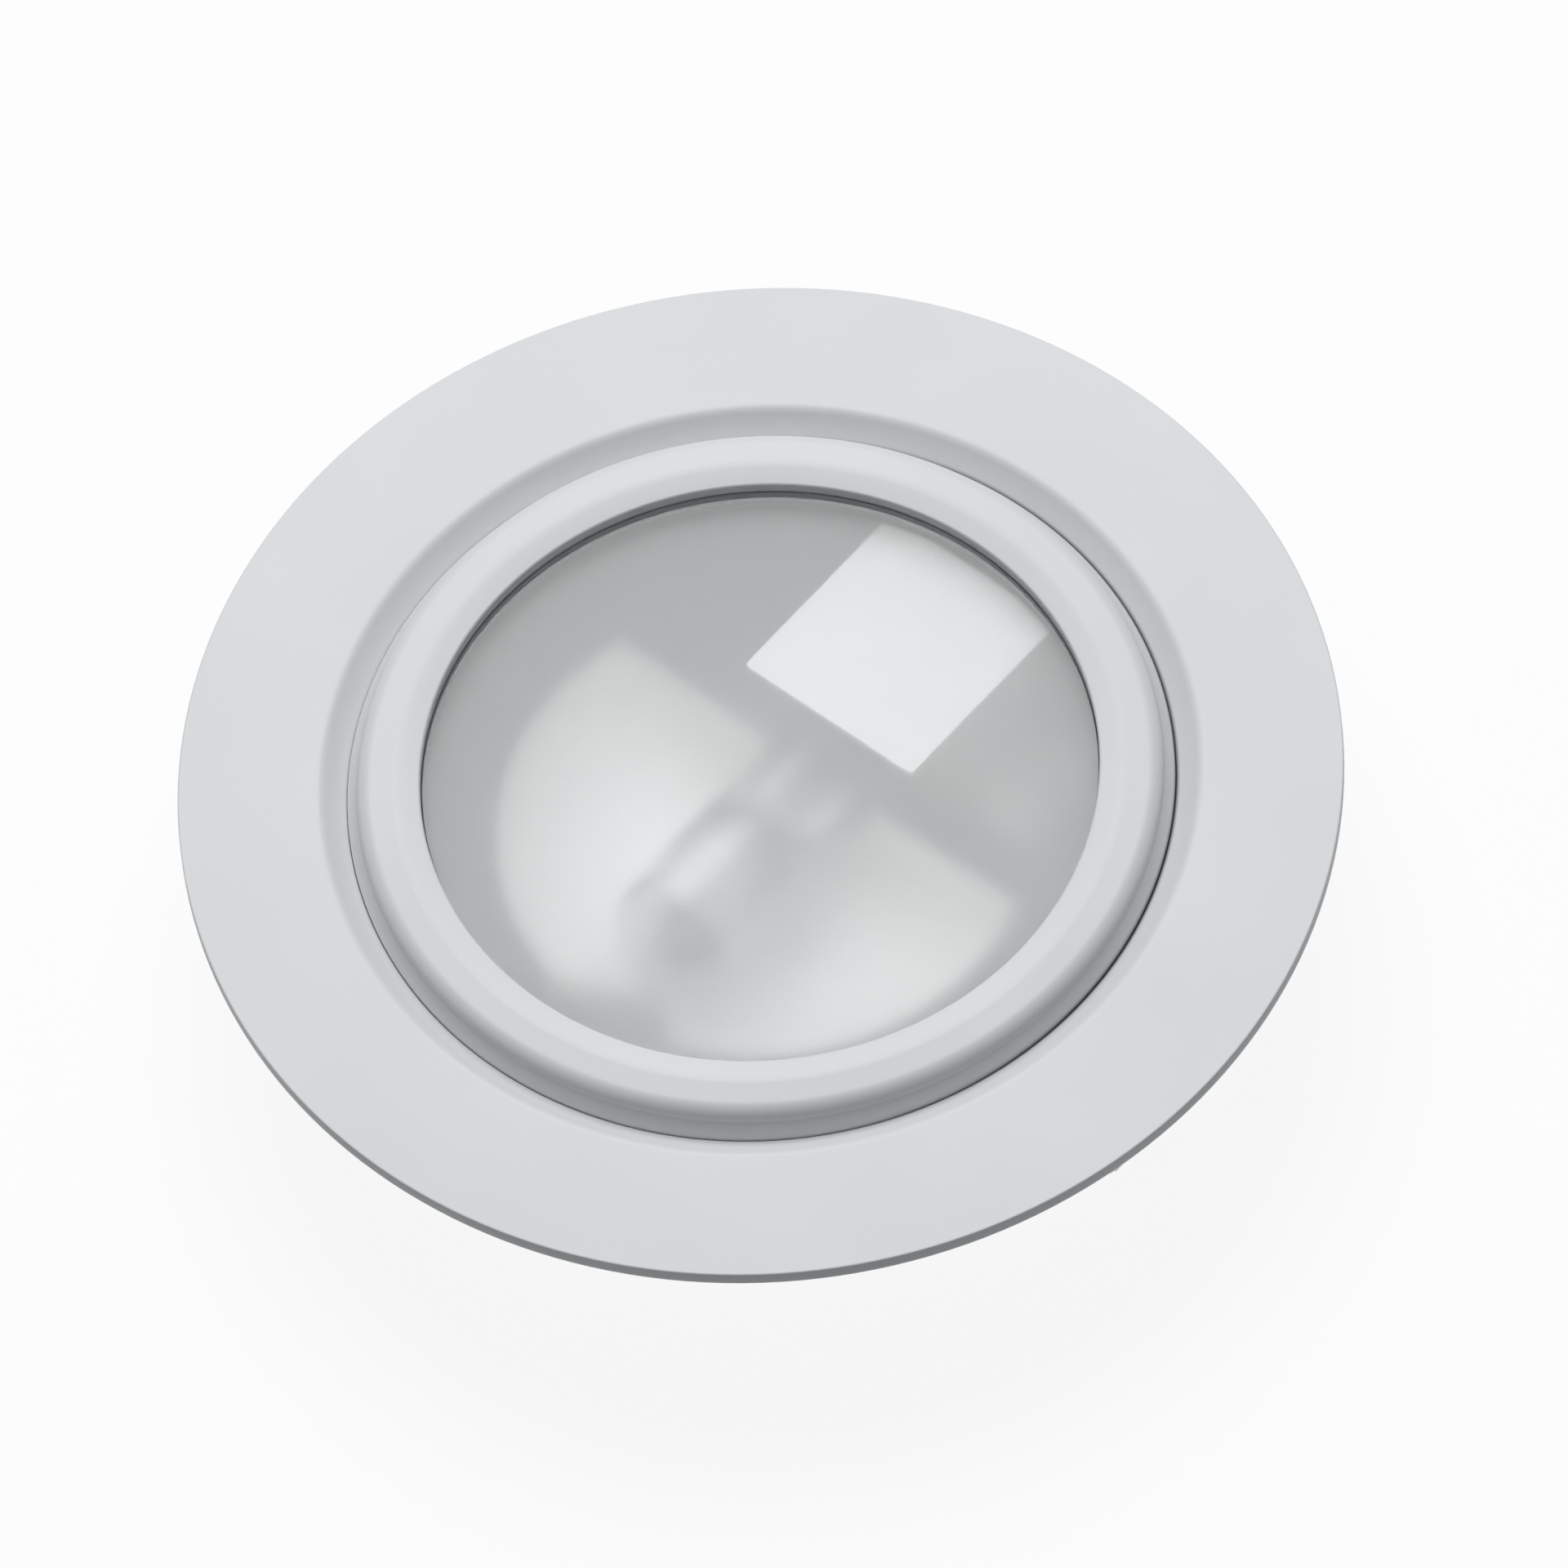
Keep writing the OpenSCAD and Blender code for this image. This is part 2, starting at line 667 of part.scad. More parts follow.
// Ways for the lamp through the reflector's walls, open to the front: its round tip, then its flat pinch
module lamp_ways() {
    tip_half = lamp_r + lamp_pass;
    pinch_half = pinch_w / 2 + lamp_pass;
    pinch_low = lamp_z - pinch_t / 2 - lamp_pass;
    translate([-can_out, 0, lamp_z]) rotate([0, 90, 0]) cylinder(r = tip_half, h = can_out);
    translate([-can_out, -tip_half, lamp_z]) cube([can_out, 2 * tip_half, can_depth]);
    translate([0, -pinch_half, pinch_low]) cube([can_out, 2 * pinch_half, can_depth]);
}

module reflector() {
    color("lightsteelblue") difference() {
        bowl(reflector_t);
        bowl(0);
        lamp_ways();
        both_sides() translate([reflector_rivet_x, reflector_rivet_y, can_back])
            cylinder(d = rivet_d + 2 * fit, h = can_depth);
    }
}

module reflector_rivets() {
    color("silver") both_sides() translate([reflector_rivet_x, reflector_rivet_y, 0]) {
        translate([0, 0, can_back + fit]) cylinder(d = rivet_d, h = reflector_floor - can_back - fit);
        translate([0, 0, reflector_floor]) dome(rivet_head_d, rivet_head_h);
    }
}

module lampholder_body() {
    half = holder_w / 2;
    edge = half - holder_chamfer;
    low_edge = holder_top - holder_chamfer;
    section = [
        [-half, holder_bottom], [half, holder_bottom], [half, low_edge],
        [edge, holder_top], [-edge, holder_top], [-half, low_edge]
    ];
    color("ivory") difference() {
        translate([holder_x, 0, 0]) rotate([90, 0, 90]) linear_extrude(holder_l) polygon(section);
        both_sides() {
            translate([holder_x - past, pin_pitch / 2, lamp_z]) rotate([0, 90, 0])
                cylinder(d = entry_d, h = holder_l);
            translate([sleeve_x - fit, pin_pitch / 2, lamp_z]) rotate([0, 90, 0])
                cylinder(d = sleeve_d + 2 * fit, h = sleeve_end - sleeve_x + past);
            translate([sleeve_end - fit, terminal_y - terminal_w / 2 - fit, lamp_z - terminal_w / 2 - fit])
                cube([holder_l, terminal_w + 2 * fit, terminal_w + 2 * fit]);
            translate([terminal_mid, terminal_y, lamp_z])
                cylinder(d = terminal_screw_d + 2 * fit, h = holder_above + past);
            translate([holder_screw_at, holder_screw_pitch / 2, holder_bottom - past])
                cylinder(d = holder_screw_d + 2 * fit, h = holder_above + holder_below + 2 * past);
            translate([holder_screw_at, holder_screw_pitch / 2, holder_top - holder_head_h])
                cylinder(d = holder_head_d + 2 * fit, h = holder_head_h + past);
        }
    }
}

module lampholder_contacts() {
    color("goldenrod") both_sides() difference() {
        union() {
            translate([sleeve_x, pin_pitch / 2, lamp_z]) rotate([0, 90, 0])
                cylinder(d = sleeve_d, h = sleeve_end - sleeve_x + fit);
            translate([sleeve_end, terminal_y - terminal_w / 2, lamp_z - terminal_w / 2])
                cube([terminal_l, terminal_w, terminal_w]);
        }
        translate([sleeve_x - past, pin_pitch / 2, lamp_z]) rotate([0, 90, 0])
            cylinder(r = pin_d / 2 + pin_clear, h = sleeve_end - sleeve_x + past);
        translate([terminal_mid, terminal_y, lamp_z]) {
            rotate([0, 90, 0]) cylinder(d = wire_entry_d, h = terminal_l);
            cylinder(d = terminal_screw_d + 2 * fit, h = terminal_w);
        }
    }
}

module terminal_screws() {
    low = lamp_z + wire_entry_d / 2;
    high = holder_top - screw_sink;
    color("silver") both_sides() translate([terminal_mid, terminal_y, 0]) difference() {
        translate([0, 0, low]) cylinder(d = terminal_screw_d, h = high - low);
        translate([-terminal_screw_d, -slot_w / 2, high - slot_h])
            cube([2 * terminal_screw_d, slot_w, slot_h + past]);
    }
}

module lampholder_spacer() {
    color("silver") difference() {
        translate([holder_x, -holder_w / 2, can_floor]) cube([holder_l, holder_w, holder_bottom - can_floor]);
        both_sides() translate([holder_screw_at, holder_screw_pitch / 2, can_floor - past])
            cylinder(d = holder_screw_d + 2 * fit, h = holder_bottom - can_floor + 2 * past);
    }
}

module lampholder_screws() {
    seat = holder_top - holder_head_h;
    color("silver") both_sides() translate([holder_screw_at, holder_screw_pitch / 2, 0])
        dome_screw(seat, holder_screw_d, holder_head_d, holder_head_h);
}

module lampholder_shield() {
    drop = shield_t / cos(shield_slope);
    top = [
        [shield_front, shield_z(shield_front)], [shield_end, shield_z(shield_end)],
        [shield_end, shield_z(shield_end) - drop], [shield_front, shield_z(shield_front) - drop]
    ];
    cheek = [
        [cheek_x0, shield_z(cheek_x0) - drop / 2], [cheek_x1, shield_z(cheek_x1) - drop / 2],
        [cheek_x1, can_floor], [cheek_x0, can_floor]
    ];
    color("white") difference() {
        union() {
            intersection() {
                standing(top, -cheek_out, cheek_out);
                translate([0, 0, can_floor]) cylinder(r = shield_reach, h = can_depth);
            }
            both_sides() {
                standing(cheek, cheek_out - shield_t, cheek_out);
                translate([cheek_x0, cheek_out - shield_t, can_floor])
                    cube([cheek_l, foot_w + shield_t, shield_t]);
            }
        }
        both_sides() translate([shield_screw_x, shield_screw_y, can_floor - past])
            cylinder(d = shield_screw_d + 2 * fit, h = shield_t + 2 * past);
    }
}

module shield_screws() {
    color("silver") both_sides() translate([shield_screw_x, shield_screw_y, 0])
        dome_screw(can_floor + shield_t, shield_screw_d, shield_head_d, shield_head_h);
}

// Turns a profile of length and radius around the lamp's own axis
module lamp_turned(profile) {
    translate([0, 0, lamp_z]) rotate([0, 90, 0]) turned([for (p = profile) [p.y, p.x]]);
}

module lamp_envelope() {
    narrowing = lamp_r - pinch_t / 2;
    shoulder = [
        for (i = [1:arc_steps])
            let (part = i / arc_steps)
            [cylinder_end + shoulder_l * part, pinch_t / 2 + narrowing * (1 + cos(180 * part)) / 2]
    ];
    outside = concat(
        [[-lamp_tip, 0], [-lamp_tip, pip_r]],
        oval_arc([dome_x, 0], [dome_l, lamp_r], 180 - asin(pip_r / lamp_r), 90),
        [[cylinder_end, lamp_r]],
        shoulder,
        [[bulb_end, 0]]
    );
    cavity = concat(
        oval_arc([cavity_x, 0], [dome_l, cavity_r], 180, 90),
        [[cylinder_end, cavity_r], [cavity_end, cavity_neck_r], [cavity_end, 0]]
    );
    color("aliceblue", 0.5) difference() {
        union() {
            lamp_turned(outside);
            translate([cylinder_end, -pinch_w / 2, lamp_z - pinch_t / 2])
                cube([lamp_base - cylinder_end, pinch_w, pinch_t]);
        }
        lamp_turned(cavity);
        foil_space(fit);
        pin_space(fit);
    }
}

// Foils in the pinch, each with a clearance around it
module foil_space(clear) {
    wide = foil_w + 2 * clear;
    thick = foil_t + 2 * clear;
    both_sides() translate([foil_start - clear, pin_pitch / 2 - wide / 2, lamp_z - thick / 2])
        cube([lamp_base - pin_seal - foil_start + clear, wide, thick]);
}

// Pins of the lamp, each with a clearance around it
module pin_space(clear) {
    both_sides() translate([lamp_base - pin_seal, pin_pitch / 2, lamp_z]) rotate([0, 90, 0])
        cylinder(d = pin_d + 2 * clear, h = pin_seal + pin_l);
}

module lamp_pins() {
    color("silver") pin_space(0);
}

module lamp_foils() {
    color("gray") foil_space(0);
}

module lamp_filament() {
    color("dimgray") wound_wire(filament_path, [0, 1, 0], filament_wire);
}

module cable_grommet() {
    color("dimgray") difference() {
        radial(0, -inlet_depth, grommet_in, grommet_out, grommet_d);
        difference() {
            ring(can_in - fit, can_out + fit, can_back, 0);
            radial(0, -inlet_depth, grommet_in, grommet_out, inlet_hole_d - 2 * fit);
        }
        radial(0, -inlet_depth, grommet_in - past, grommet_out + past, inlet_bore_d);
    }
}

// Cylinder along X through the clip's pin, between two places
module on_pin(x_low, x_high, r) {
    translate([x_low, pivot_y, pivot_z]) rotate([0, 90, 0]) cylinder(r = r, h = x_high - x_low);
}

module clip_bracket() {
    low = pivot_z - bracket_low;
    high = pivot_z + bracket_high;
    difference() {
        union() {
            intersection() {
                ring(can_out + fit, plate_out, low, high);
                translate([-clip_w / 2, 0, low]) cube([clip_w, 2 * can_out, high - low]);
            }
            for (x = [-clip_w / 2, ear_in]) {
                translate([x, ear_root, pivot_z - ear_r]) cube([bracket_t, pivot_y - ear_root, 2 * ear_r]);
                on_pin(x, x + bracket_t, ear_r);
            }
        }
        on_pin(-clip_w, clip_w, clip_pin_d / 2 + fit);
        for (b = clip_bearings)
            radial(b, pivot_z + clip_rivet_up, can_in, plate_out + past, rivet_d + 2 * fit);
    }
}

module clip_arm() {
    half = arm_w / 2;
    difference() {
        translate([0, pivot_y, pivot_z]) rotate([-arm_lean, 0, 0]) {
            translate([-half, -arm_t / 2, arm_plate_start]) cube([arm_w, arm_t, arm_l - arm_plate_start]);
            translate([-half, 0, arm_l]) rotate([0, 90, 0]) cylinder(r = arm_tip_r, h = arm_w);
            for (x = [-half, half - arm_t]) {
                translate([x, -arm_t / 2, -arm_tail]) cube([arm_t, arm_t, arm_tail + arm_l]);
                translate([x, 0, 0]) rotate([0, 90, 0]) cylinder(r = lug_r, h = arm_t);
            }
        }
        on_pin(-clip_w, clip_w, clip_pin_d / 2 + clip_pin_clear);
    }
}

module clip_pin() {
    half = clip_w / 2;
    on_pin(-half - clip_head_t, half + clip_head_t, clip_pin_d / 2);
    on_pin(half, half + clip_head_t, clip_head_r);
    on_pin(-half - clip_head_t, -half, clip_head_r);
}

module clip_spring() {
    wound_wire(spring_path, [1, 0, 0], spring_wire);
}

// The clip at -Y is the one at +Y turned half round
module opposite() {
    rotate([0, 0, 180]) children();
}

module left_clip_bracket() { color("darkgray") clip_bracket(); }
module left_clip_arm() { color("lightgray") clip_arm(); }
module left_clip_pin() { color("silver") clip_pin(); }
module left_clip_spring() { color("gray") clip_spring(); }
module right_clip_bracket() { color("darkgray") opposite() clip_bracket(); }
module right_clip_arm() { color("lightgray") opposite() clip_arm(); }
module right_clip_pin() { color("silver") opposite() clip_pin(); }
module right_clip_spring() { color("gray") opposite() clip_spring(); }

module clip_rivets() {
    color("silver") for (b = clip_bearings) radial_rivet(b, pivot_z + clip_rivet_up, can_in, plate_out);
}

trim_flange();
rear_can();
body_rivets();
bezel_ring();
lens_glass();
lens_gasket();
lens_circlip();
snap_ring();
reflector();
reflector_rivets();
lampholder_body();
lampholder_contacts();
terminal_screws();
lampholder_spacer();
lampholder_screws();
lampholder_shield();
shield_screws();
lamp_envelope();
lamp_pins();
lamp_foils();
lamp_filament();
cable_grommet();
left_clip_bracket();
left_clip_arm();
left_clip_pin();
left_clip_spring();
right_clip_bracket();
right_clip_arm();
right_clip_pin();
right_clip_spring();
clip_rivets();
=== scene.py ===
# %% [markdown]
# A round recessed furniture light: a white trim flange, a domed bezel that holds a frosted glass,
# and behind the glass a small capsule lamp in a metal bowl. The construction comes as a packed
# frame of separate nodes in metres. This lesson dresses that frame. It builds the turned, bent and
# wound pieces again as fine meshes, gives every surface a finish made of nodes, and lights it all
# like a catalogue picture.

# %% Load the frame
import json
import math

import bmesh
import bpy
from mathutils import Matrix, Vector


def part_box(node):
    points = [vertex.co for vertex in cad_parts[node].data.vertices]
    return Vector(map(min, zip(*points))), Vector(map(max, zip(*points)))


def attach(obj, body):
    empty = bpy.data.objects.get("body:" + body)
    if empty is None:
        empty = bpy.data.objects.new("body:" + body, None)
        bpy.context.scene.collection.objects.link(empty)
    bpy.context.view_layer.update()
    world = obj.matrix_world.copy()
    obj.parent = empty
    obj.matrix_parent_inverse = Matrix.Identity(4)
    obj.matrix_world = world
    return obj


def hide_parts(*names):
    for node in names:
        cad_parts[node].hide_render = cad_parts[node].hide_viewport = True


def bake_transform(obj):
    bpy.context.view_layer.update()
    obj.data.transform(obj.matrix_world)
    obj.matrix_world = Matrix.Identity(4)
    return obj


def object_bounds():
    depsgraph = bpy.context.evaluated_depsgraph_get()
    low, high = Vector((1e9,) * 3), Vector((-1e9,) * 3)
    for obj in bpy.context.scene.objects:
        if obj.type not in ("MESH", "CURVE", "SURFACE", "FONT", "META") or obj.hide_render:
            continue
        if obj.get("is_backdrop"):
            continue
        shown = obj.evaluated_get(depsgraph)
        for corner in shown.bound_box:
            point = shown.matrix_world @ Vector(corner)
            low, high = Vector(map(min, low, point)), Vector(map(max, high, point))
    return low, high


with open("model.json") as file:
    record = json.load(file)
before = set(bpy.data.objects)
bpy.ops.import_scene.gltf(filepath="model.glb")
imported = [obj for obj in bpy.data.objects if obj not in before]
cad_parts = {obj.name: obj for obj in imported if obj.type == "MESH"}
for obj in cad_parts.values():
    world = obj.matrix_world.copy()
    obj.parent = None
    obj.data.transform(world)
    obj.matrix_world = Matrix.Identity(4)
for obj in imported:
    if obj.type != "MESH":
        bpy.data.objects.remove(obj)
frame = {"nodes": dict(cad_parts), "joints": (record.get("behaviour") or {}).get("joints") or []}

cad_low, cad_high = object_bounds()
MM = 0.001

# %% [markdown]
# Signals. A finish is a small calculation that runs at every point of a surface. Node graphs are
# hard to read as code, so one class wraps a socket and lets it stand in a Python expression: adding
# two signals adds a Math node. Colours and vectors have nodes of their own, and those come from the
# method `node`.

# %% Sockets that take part in expressions
class Signal:
    """A socket of a node tree, as a value in a Python expression."""

    def __init__(self, tree, socket=None):
        self.tree = tree
        self.socket = socket

    def feed(self, socket, value):
        """Links a signal to a socket, or sets the socket to a plain value."""
        if isinstance(value, Signal):
            self.tree.links.new(value.socket, socket)
        else:
            socket.default_value = value

    def node(self, kind, settings, inputs, output=0):
        """Adds a node of any kind: its settings first, then the values or links of its sockets."""
        made = self.tree.nodes.new(kind)
        for key, value in settings.items():
            setattr(made, key, value)
        for key, value in inputs.items():
            self.feed(made.inputs[key], value)
        return Signal(self.tree, made.outputs[output])

    def math(self, operation, first, second=0.0):
        return self.node("ShaderNodeMath", {"operation": operation}, {0: first, 1: second})

    def __add__(self, other):
        return self.math("ADD", self, other)

    def __radd__(self, other):
        return self.math("ADD", other, self)

    def __sub__(self, other):
        return self.math("SUBTRACT", self, other)

    def __rsub__(self, other):
        return self.math("SUBTRACT", other, self)

    def __mul__(self, other):
        return self.math("MULTIPLY", self, other)

    def __abs__(self):
        return self.math("ABSOLUTE", self)


print("signals are ready")

# %% [markdown]
# Colours are easiest to name as a paint chart does, from 0 to 255 in the way a screen shows them.
# The shader works with light, which is linear, so each colour is converted once here.

# %% Colours and the common nodes
def paint(red, green, blue):
    """A chart colour as linear light."""
    def linear(level):
        share = level / 255
        return share / 12.92 if share <= 0.04045 else ((share + 0.055) / 1.055) ** 2.4
    return (linear(red), linear(green), linear(blue), 1.0)


MIX_FIRST, MIX_SECOND, MIX_RESULT = 6, 7, 2


def tint(share, first, second):
    """A colour between two others."""
    inputs = {0: share, MIX_FIRST: first, MIX_SECOND: second}
    return share.node("ShaderNodeMix", {"data_type": "RGBA"}, inputs, MIX_RESULT)


def cloud(place, size, detail=2.0):
    """Soft spots of values between 0 and 1, about so many millimetres across."""
    inputs = {"Vector": place, "Scale": 1 / (size * MM), "Detail": detail}
    return place.node("ShaderNodeTexNoise", {}, inputs, "Fac")


def stretch(place, x, y, z):
    """The same place on axes of other lengths, so that spots become streaks."""
    inputs = {0: place, 1: (x, y, z)}
    return place.node("ShaderNodeVectorMath", {"operation": "MULTIPLY"}, inputs, "Vector")


def step_between(value, low, high):
    """0 below low, 1 above high and a soft slope between them."""
    inputs = {"Value": value, "From Min": low, "From Max": high}
    return value.node("ShaderNodeMapRange", {"interpolation_type": "SMOOTHSTEP"}, inputs, "Result")


def band(value, middle, half_width):
    """1 at the middle, falling softly to 0 at half a width on both sides."""
    return 1 - step_between(abs(value - middle), 0.0, half_width)


def from_axis(place):
    """Distance from the axis of the light, in millimetres."""
    flat = stretch(place, 1, 1, 0)
    return flat.node("ShaderNodeVectorMath", {"operation": "LENGTH"}, {0: flat}, "Value") * (1 / MM)


def height_of(place):
    """Height above the back of the flange, in millimetres."""
    return place.node("ShaderNodeSeparateXYZ", {}, {0: place}, "Z") * (1 / MM)


print("sample: enamel white as light", [round(c, 3) for c in paint(224, 225, 227)])

# %% [markdown]
# A finish starts from the main shader and from the place of each point in the frame. Bumps are
# given by their real depth in millimetres, which keeps them believable: orange peel in paint is a
# few thousandths deep, not tenths.

# %% Start a finish
def start_finish(name):
    """A new material, its main shader, and the place of each point as a signal."""
    made = bpy.data.materials.new(name)
    made.use_nodes = True
    shader = made.node_tree.nodes["Principled BSDF"]
    place = Signal(made.node_tree).node("ShaderNodeTexCoord", {}, {}, "Object")
    return made, shader, place


def dress(shader, colour, roughness):
    """The colour and the roughness of the main shader, both as signals."""
    colour.feed(shader.inputs["Base Color"], colour)
    roughness.feed(shader.inputs["Roughness"], roughness)


def emboss(shader, relief, depth):
    """Relief of a real depth in millimetres."""
    inputs = {"Height": relief, "Distance": depth * MM}
    relief.feed(shader.inputs["Normal"], relief.node("ShaderNodeBump", {}, inputs, "Normal"))


def constant(shader, **values):
    """Values that are the same all over the surface, set on the shader itself."""
    for key, value in values.items():
        shader.inputs[key.replace("_", " ")].default_value = value


print("finishes so far:", len(bpy.data.materials))

# %% [markdown]
# White enamel covers the flange and the bezel. It is sprayed and baked: smooth, half matt, very
# slightly uneven in colour, with a fine orange peel that only shows in reflections. The seam between
# the two rings is darkened with painted shade. A real bezel sits a little to one side in its collar,
# so its seam is wider and lies in deeper shadow on the other side. This one is centred, and more
# painted shade on one side stands for the wider seam.

# %% White enamel
SEAM_RADIUS = 27.74
SEAM_REACH = 0.3
SEAM_TOP = 0.75
OPEN_SIDE = (0.707, -0.707, 0)
SEAM_CLOSED, SEAM_OPEN = -2.0, 26.0
# How much painted seam shade there is on the closed side and on the open side.
SEAM_SHADE_CLOSED, SEAM_SHADE_OPEN = 0.05, 0.85


def white_enamel():
    finish, shader, place = start_finish("white_enamel")
    drift = cloud(place, 16)
    peel = cloud(place, 0.8)
    clean = tint(drift, paint(223, 224, 226), paint(219, 220, 222))
    in_seam = band(from_axis(place), SEAM_RADIUS, SEAM_REACH)
    low_down = 1 - step_between(height_of(place), SEAM_TOP / 2, SEAM_TOP)
    along = {0: place, 1: OPEN_SIDE}
    to_side = place.node("ShaderNodeVectorMath", {"operation": "DOT_PRODUCT"}, along, "Value")
    open_gap = step_between(to_side * (1 / MM), SEAM_CLOSED, SEAM_OPEN)
    # Painted shade: the seam turns dark grey, more on the open side, where a wider gap would lie in
    # shadow.
    seam_shade = in_seam * low_down * (SEAM_SHADE_CLOSED + open_gap * SEAM_SHADE_OPEN)
    dress(shader, tint(seam_shade, clean, paint(92, 97, 99)), 0.36 + drift * 0.1 + seam_shade * 0.2)
    emboss(shader, peel, 0.004)
    return finish


enamel = white_enamel()
print("made", enamel.name)

# %% [markdown]
# The shield over the lampholder is painted with a heat-proof white. It is whiter and rougher than
# the enamel outside, with a fine sprayed stipple.

# %% Shield enamel
def shield_enamel():
    finish, shader, place = start_finish("shield_enamel")
    stipple = cloud(place, 0.35, 3.0)
    colour = tint(stipple, paint(235, 232, 229), paint(228, 225, 222))
    dress(shader, colour, 0.5 + stipple * 0.15)
    emboss(shader, stipple, 0.01)
    return finish


shield_white = shield_enamel()
print("made", shield_white.name)

# %% [markdown]
# The glass is a float glass disc with an etched back. Three finishes share the disc: the polished
# front is clear, the etched back scatters part of the light and lets the rest through, roughly
# bent, and the edge is ground with a coarse wheel and stays a dull grey. What lies close behind the
# etching stays sharp, and what lies deeper is blurred, as on the real one.

# %% Polished, etched and ground glass
GLASS_INDEX = 1.5
ETCHED_CLEAR = 0.76


def polished_glass():
    finish, shader, place = start_finish("polished_glass")
    ripple = cloud(place, 9)
    dress(shader, tint(ripple, paint(253, 254, 254), paint(251, 253, 253)), 0.06 + ripple * 0.05)
    constant(shader, IOR=GLASS_INDEX, Transmission_Weight=1.0)
    return finish


def etched_glass():
    finish, shader, place = start_finish("etched_glass")
    grain = cloud(place, 0.3, 3.0)
    drift = cloud(place, 12)
    dress(shader, tint(drift, paint(235, 239, 242), paint(231, 236, 239)), 0.3 + grain * 0.12)
    emboss(shader, grain, 0.012)
    constant(shader, IOR=GLASS_INDEX, Transmission_Weight=ETCHED_CLEAR)
    return finish


def ground_glass():
    finish, shader, place = start_finish("ground_glass")
    grit = cloud(place, 0.2, 3.0)
    dress(shader, tint(grit, paint(146, 151, 152), paint(136, 141, 142)), 0.55 + grit * 0.15)
    emboss(shader, grit, 0.01)
    return finish


clear_face = polished_glass()
etched_face = etched_glass()
ground_edge = ground_glass()
print("made", clear_face.name, etched_face.name, "and", ground_edge.name)

# %% [markdown]
# Metals. Every metal here is a bright base with a duller stain, streaks left by rolling or drawing,
# and a roughness that follows the streaks. One function makes them, and each finish gives its own
# colours and the way its streaks run.

# %% Rolled and drawn metals
METAL_UNEVEN = 0.15


def metal(name, bright, dull_and_shade, streak, roughness):
    finish, shader, place = start_finish(name)
    lines = cloud(stretch(place, *streak), 0.25, 3.0)
    stain = cloud(place, 5.0)
    dress(shader, tint(stain * 0.6 + lines * 0.4, bright, dull_and_shade), roughness + lines * METAL_UNEVEN)
    emboss(shader, lines, 0.003)
    constant(shader, Metallic=1.0)
    return finish


spring_wire = metal("spring_wire", paint(190, 190, 192), paint(148, 148, 152), (1, 1, 1), 0.26)
clip_steel = metal("clip_steel", paint(205, 206, 208), paint(176, 178, 182), (0.06, 1, 1), 0.3)
fasteners = metal("plated_fasteners", paint(214, 213, 210), paint(186, 185, 183), (1, 1, 0.2), 0.24)
brass = metal("contact_brass", paint(226, 198, 128), paint(188, 152, 84), (0.1, 1, 1), 0.28)
molybdenum = metal("molybdenum", paint(182, 183, 186), paint(140, 141, 146), (0.1, 1, 1), 0.32)
print("metals:", [m.name for m in (spring_wire, clip_steel, fasteners, brass, molybdenum)])

# %% [markdown]
# The can is drawn from galvanised sheet. Zinc freezes in flakes called spangle, a few millimetres
# across and each a slightly different grey. Cells of a Voronoi texture give one random value per
# flake. Inside the can the zinc is painted a darker grey as painted shade, for the shade deep in the
# can.

# %% Galvanised sheet
SPANGLE = 2.4
CAN_INSIDE_R = 29.4
CAN_INSIDE_Z = -13.2
WALL_BLEND, FLOOR_BLEND = 0.1, 0.2
WARP_SCALE = 400.0
WARP = 0.0012


def galvanised_sheet():
    finish, shader, place = start_finish("galvanised_steel")
    waves = place.node("ShaderNodeTexNoise", {}, {"Vector": place, "Scale": WARP_SCALE}, "Color")
    bent = {0: waves, 1: (WARP, WARP, WARP), 2: place}
    warp = place.node("ShaderNodeVectorMath", {"operation": "MULTIPLY_ADD"}, bent, "Vector")
    cells = {"Vector": warp, "Scale": 1 / (SPANGLE * MM)}
    flakes = place.node("ShaderNodeTexVoronoi", {}, cells, "Color")
    flake = flakes.node("ShaderNodeSeparateColor", {}, {0: flakes}, "Red")
    fine = cloud(place, 0.4, 3.0)
    clean = tint(flake * 0.75 + fine * 0.25, paint(205, 207, 210), paint(183, 186, 190))
    within = 1 - step_between(from_axis(place), CAN_INSIDE_R - WALL_BLEND, CAN_INSIDE_R + WALL_BLEND)
    above = step_between(height_of(place), CAN_INSIDE_Z - FLOOR_BLEND, CAN_INSIDE_Z + FLOOR_BLEND)
    # Painted shade: inside the can the colour turns a dark grey, and the zinc is a little rougher there.
    inside_shade = within * above
    colour = tint(inside_shade, clean, tint(fine, paint(80, 93, 103), paint(71, 83, 92)))
    dress(shader, colour, 0.34 + flake * 0.14 + fine * 0.06 + inside_shade * 0.1)
    emboss(shader, fine, 0.004)
    constant(shader, Metallic=1.0)
    return finish


galvanised = galvanised_sheet()
print("made", galvanised.name)

# %% [markdown]
# The pan behind the lamp is spun from aluminium, cut straight on one side and satin anodised: very
# pale, with the fine rings of the spinning lathe. The rings are streaks in the distance from the
# axis. The top of its rim is painted a mid grey as painted shade, which dims the highlight there.

# %% Satin aluminium
SPIN_LINE = 0.22
PAN_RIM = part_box("reflector")[1].z / MM
RIM_SHADE_START, RIM_SHADE_FULL = 0.12, 0.04


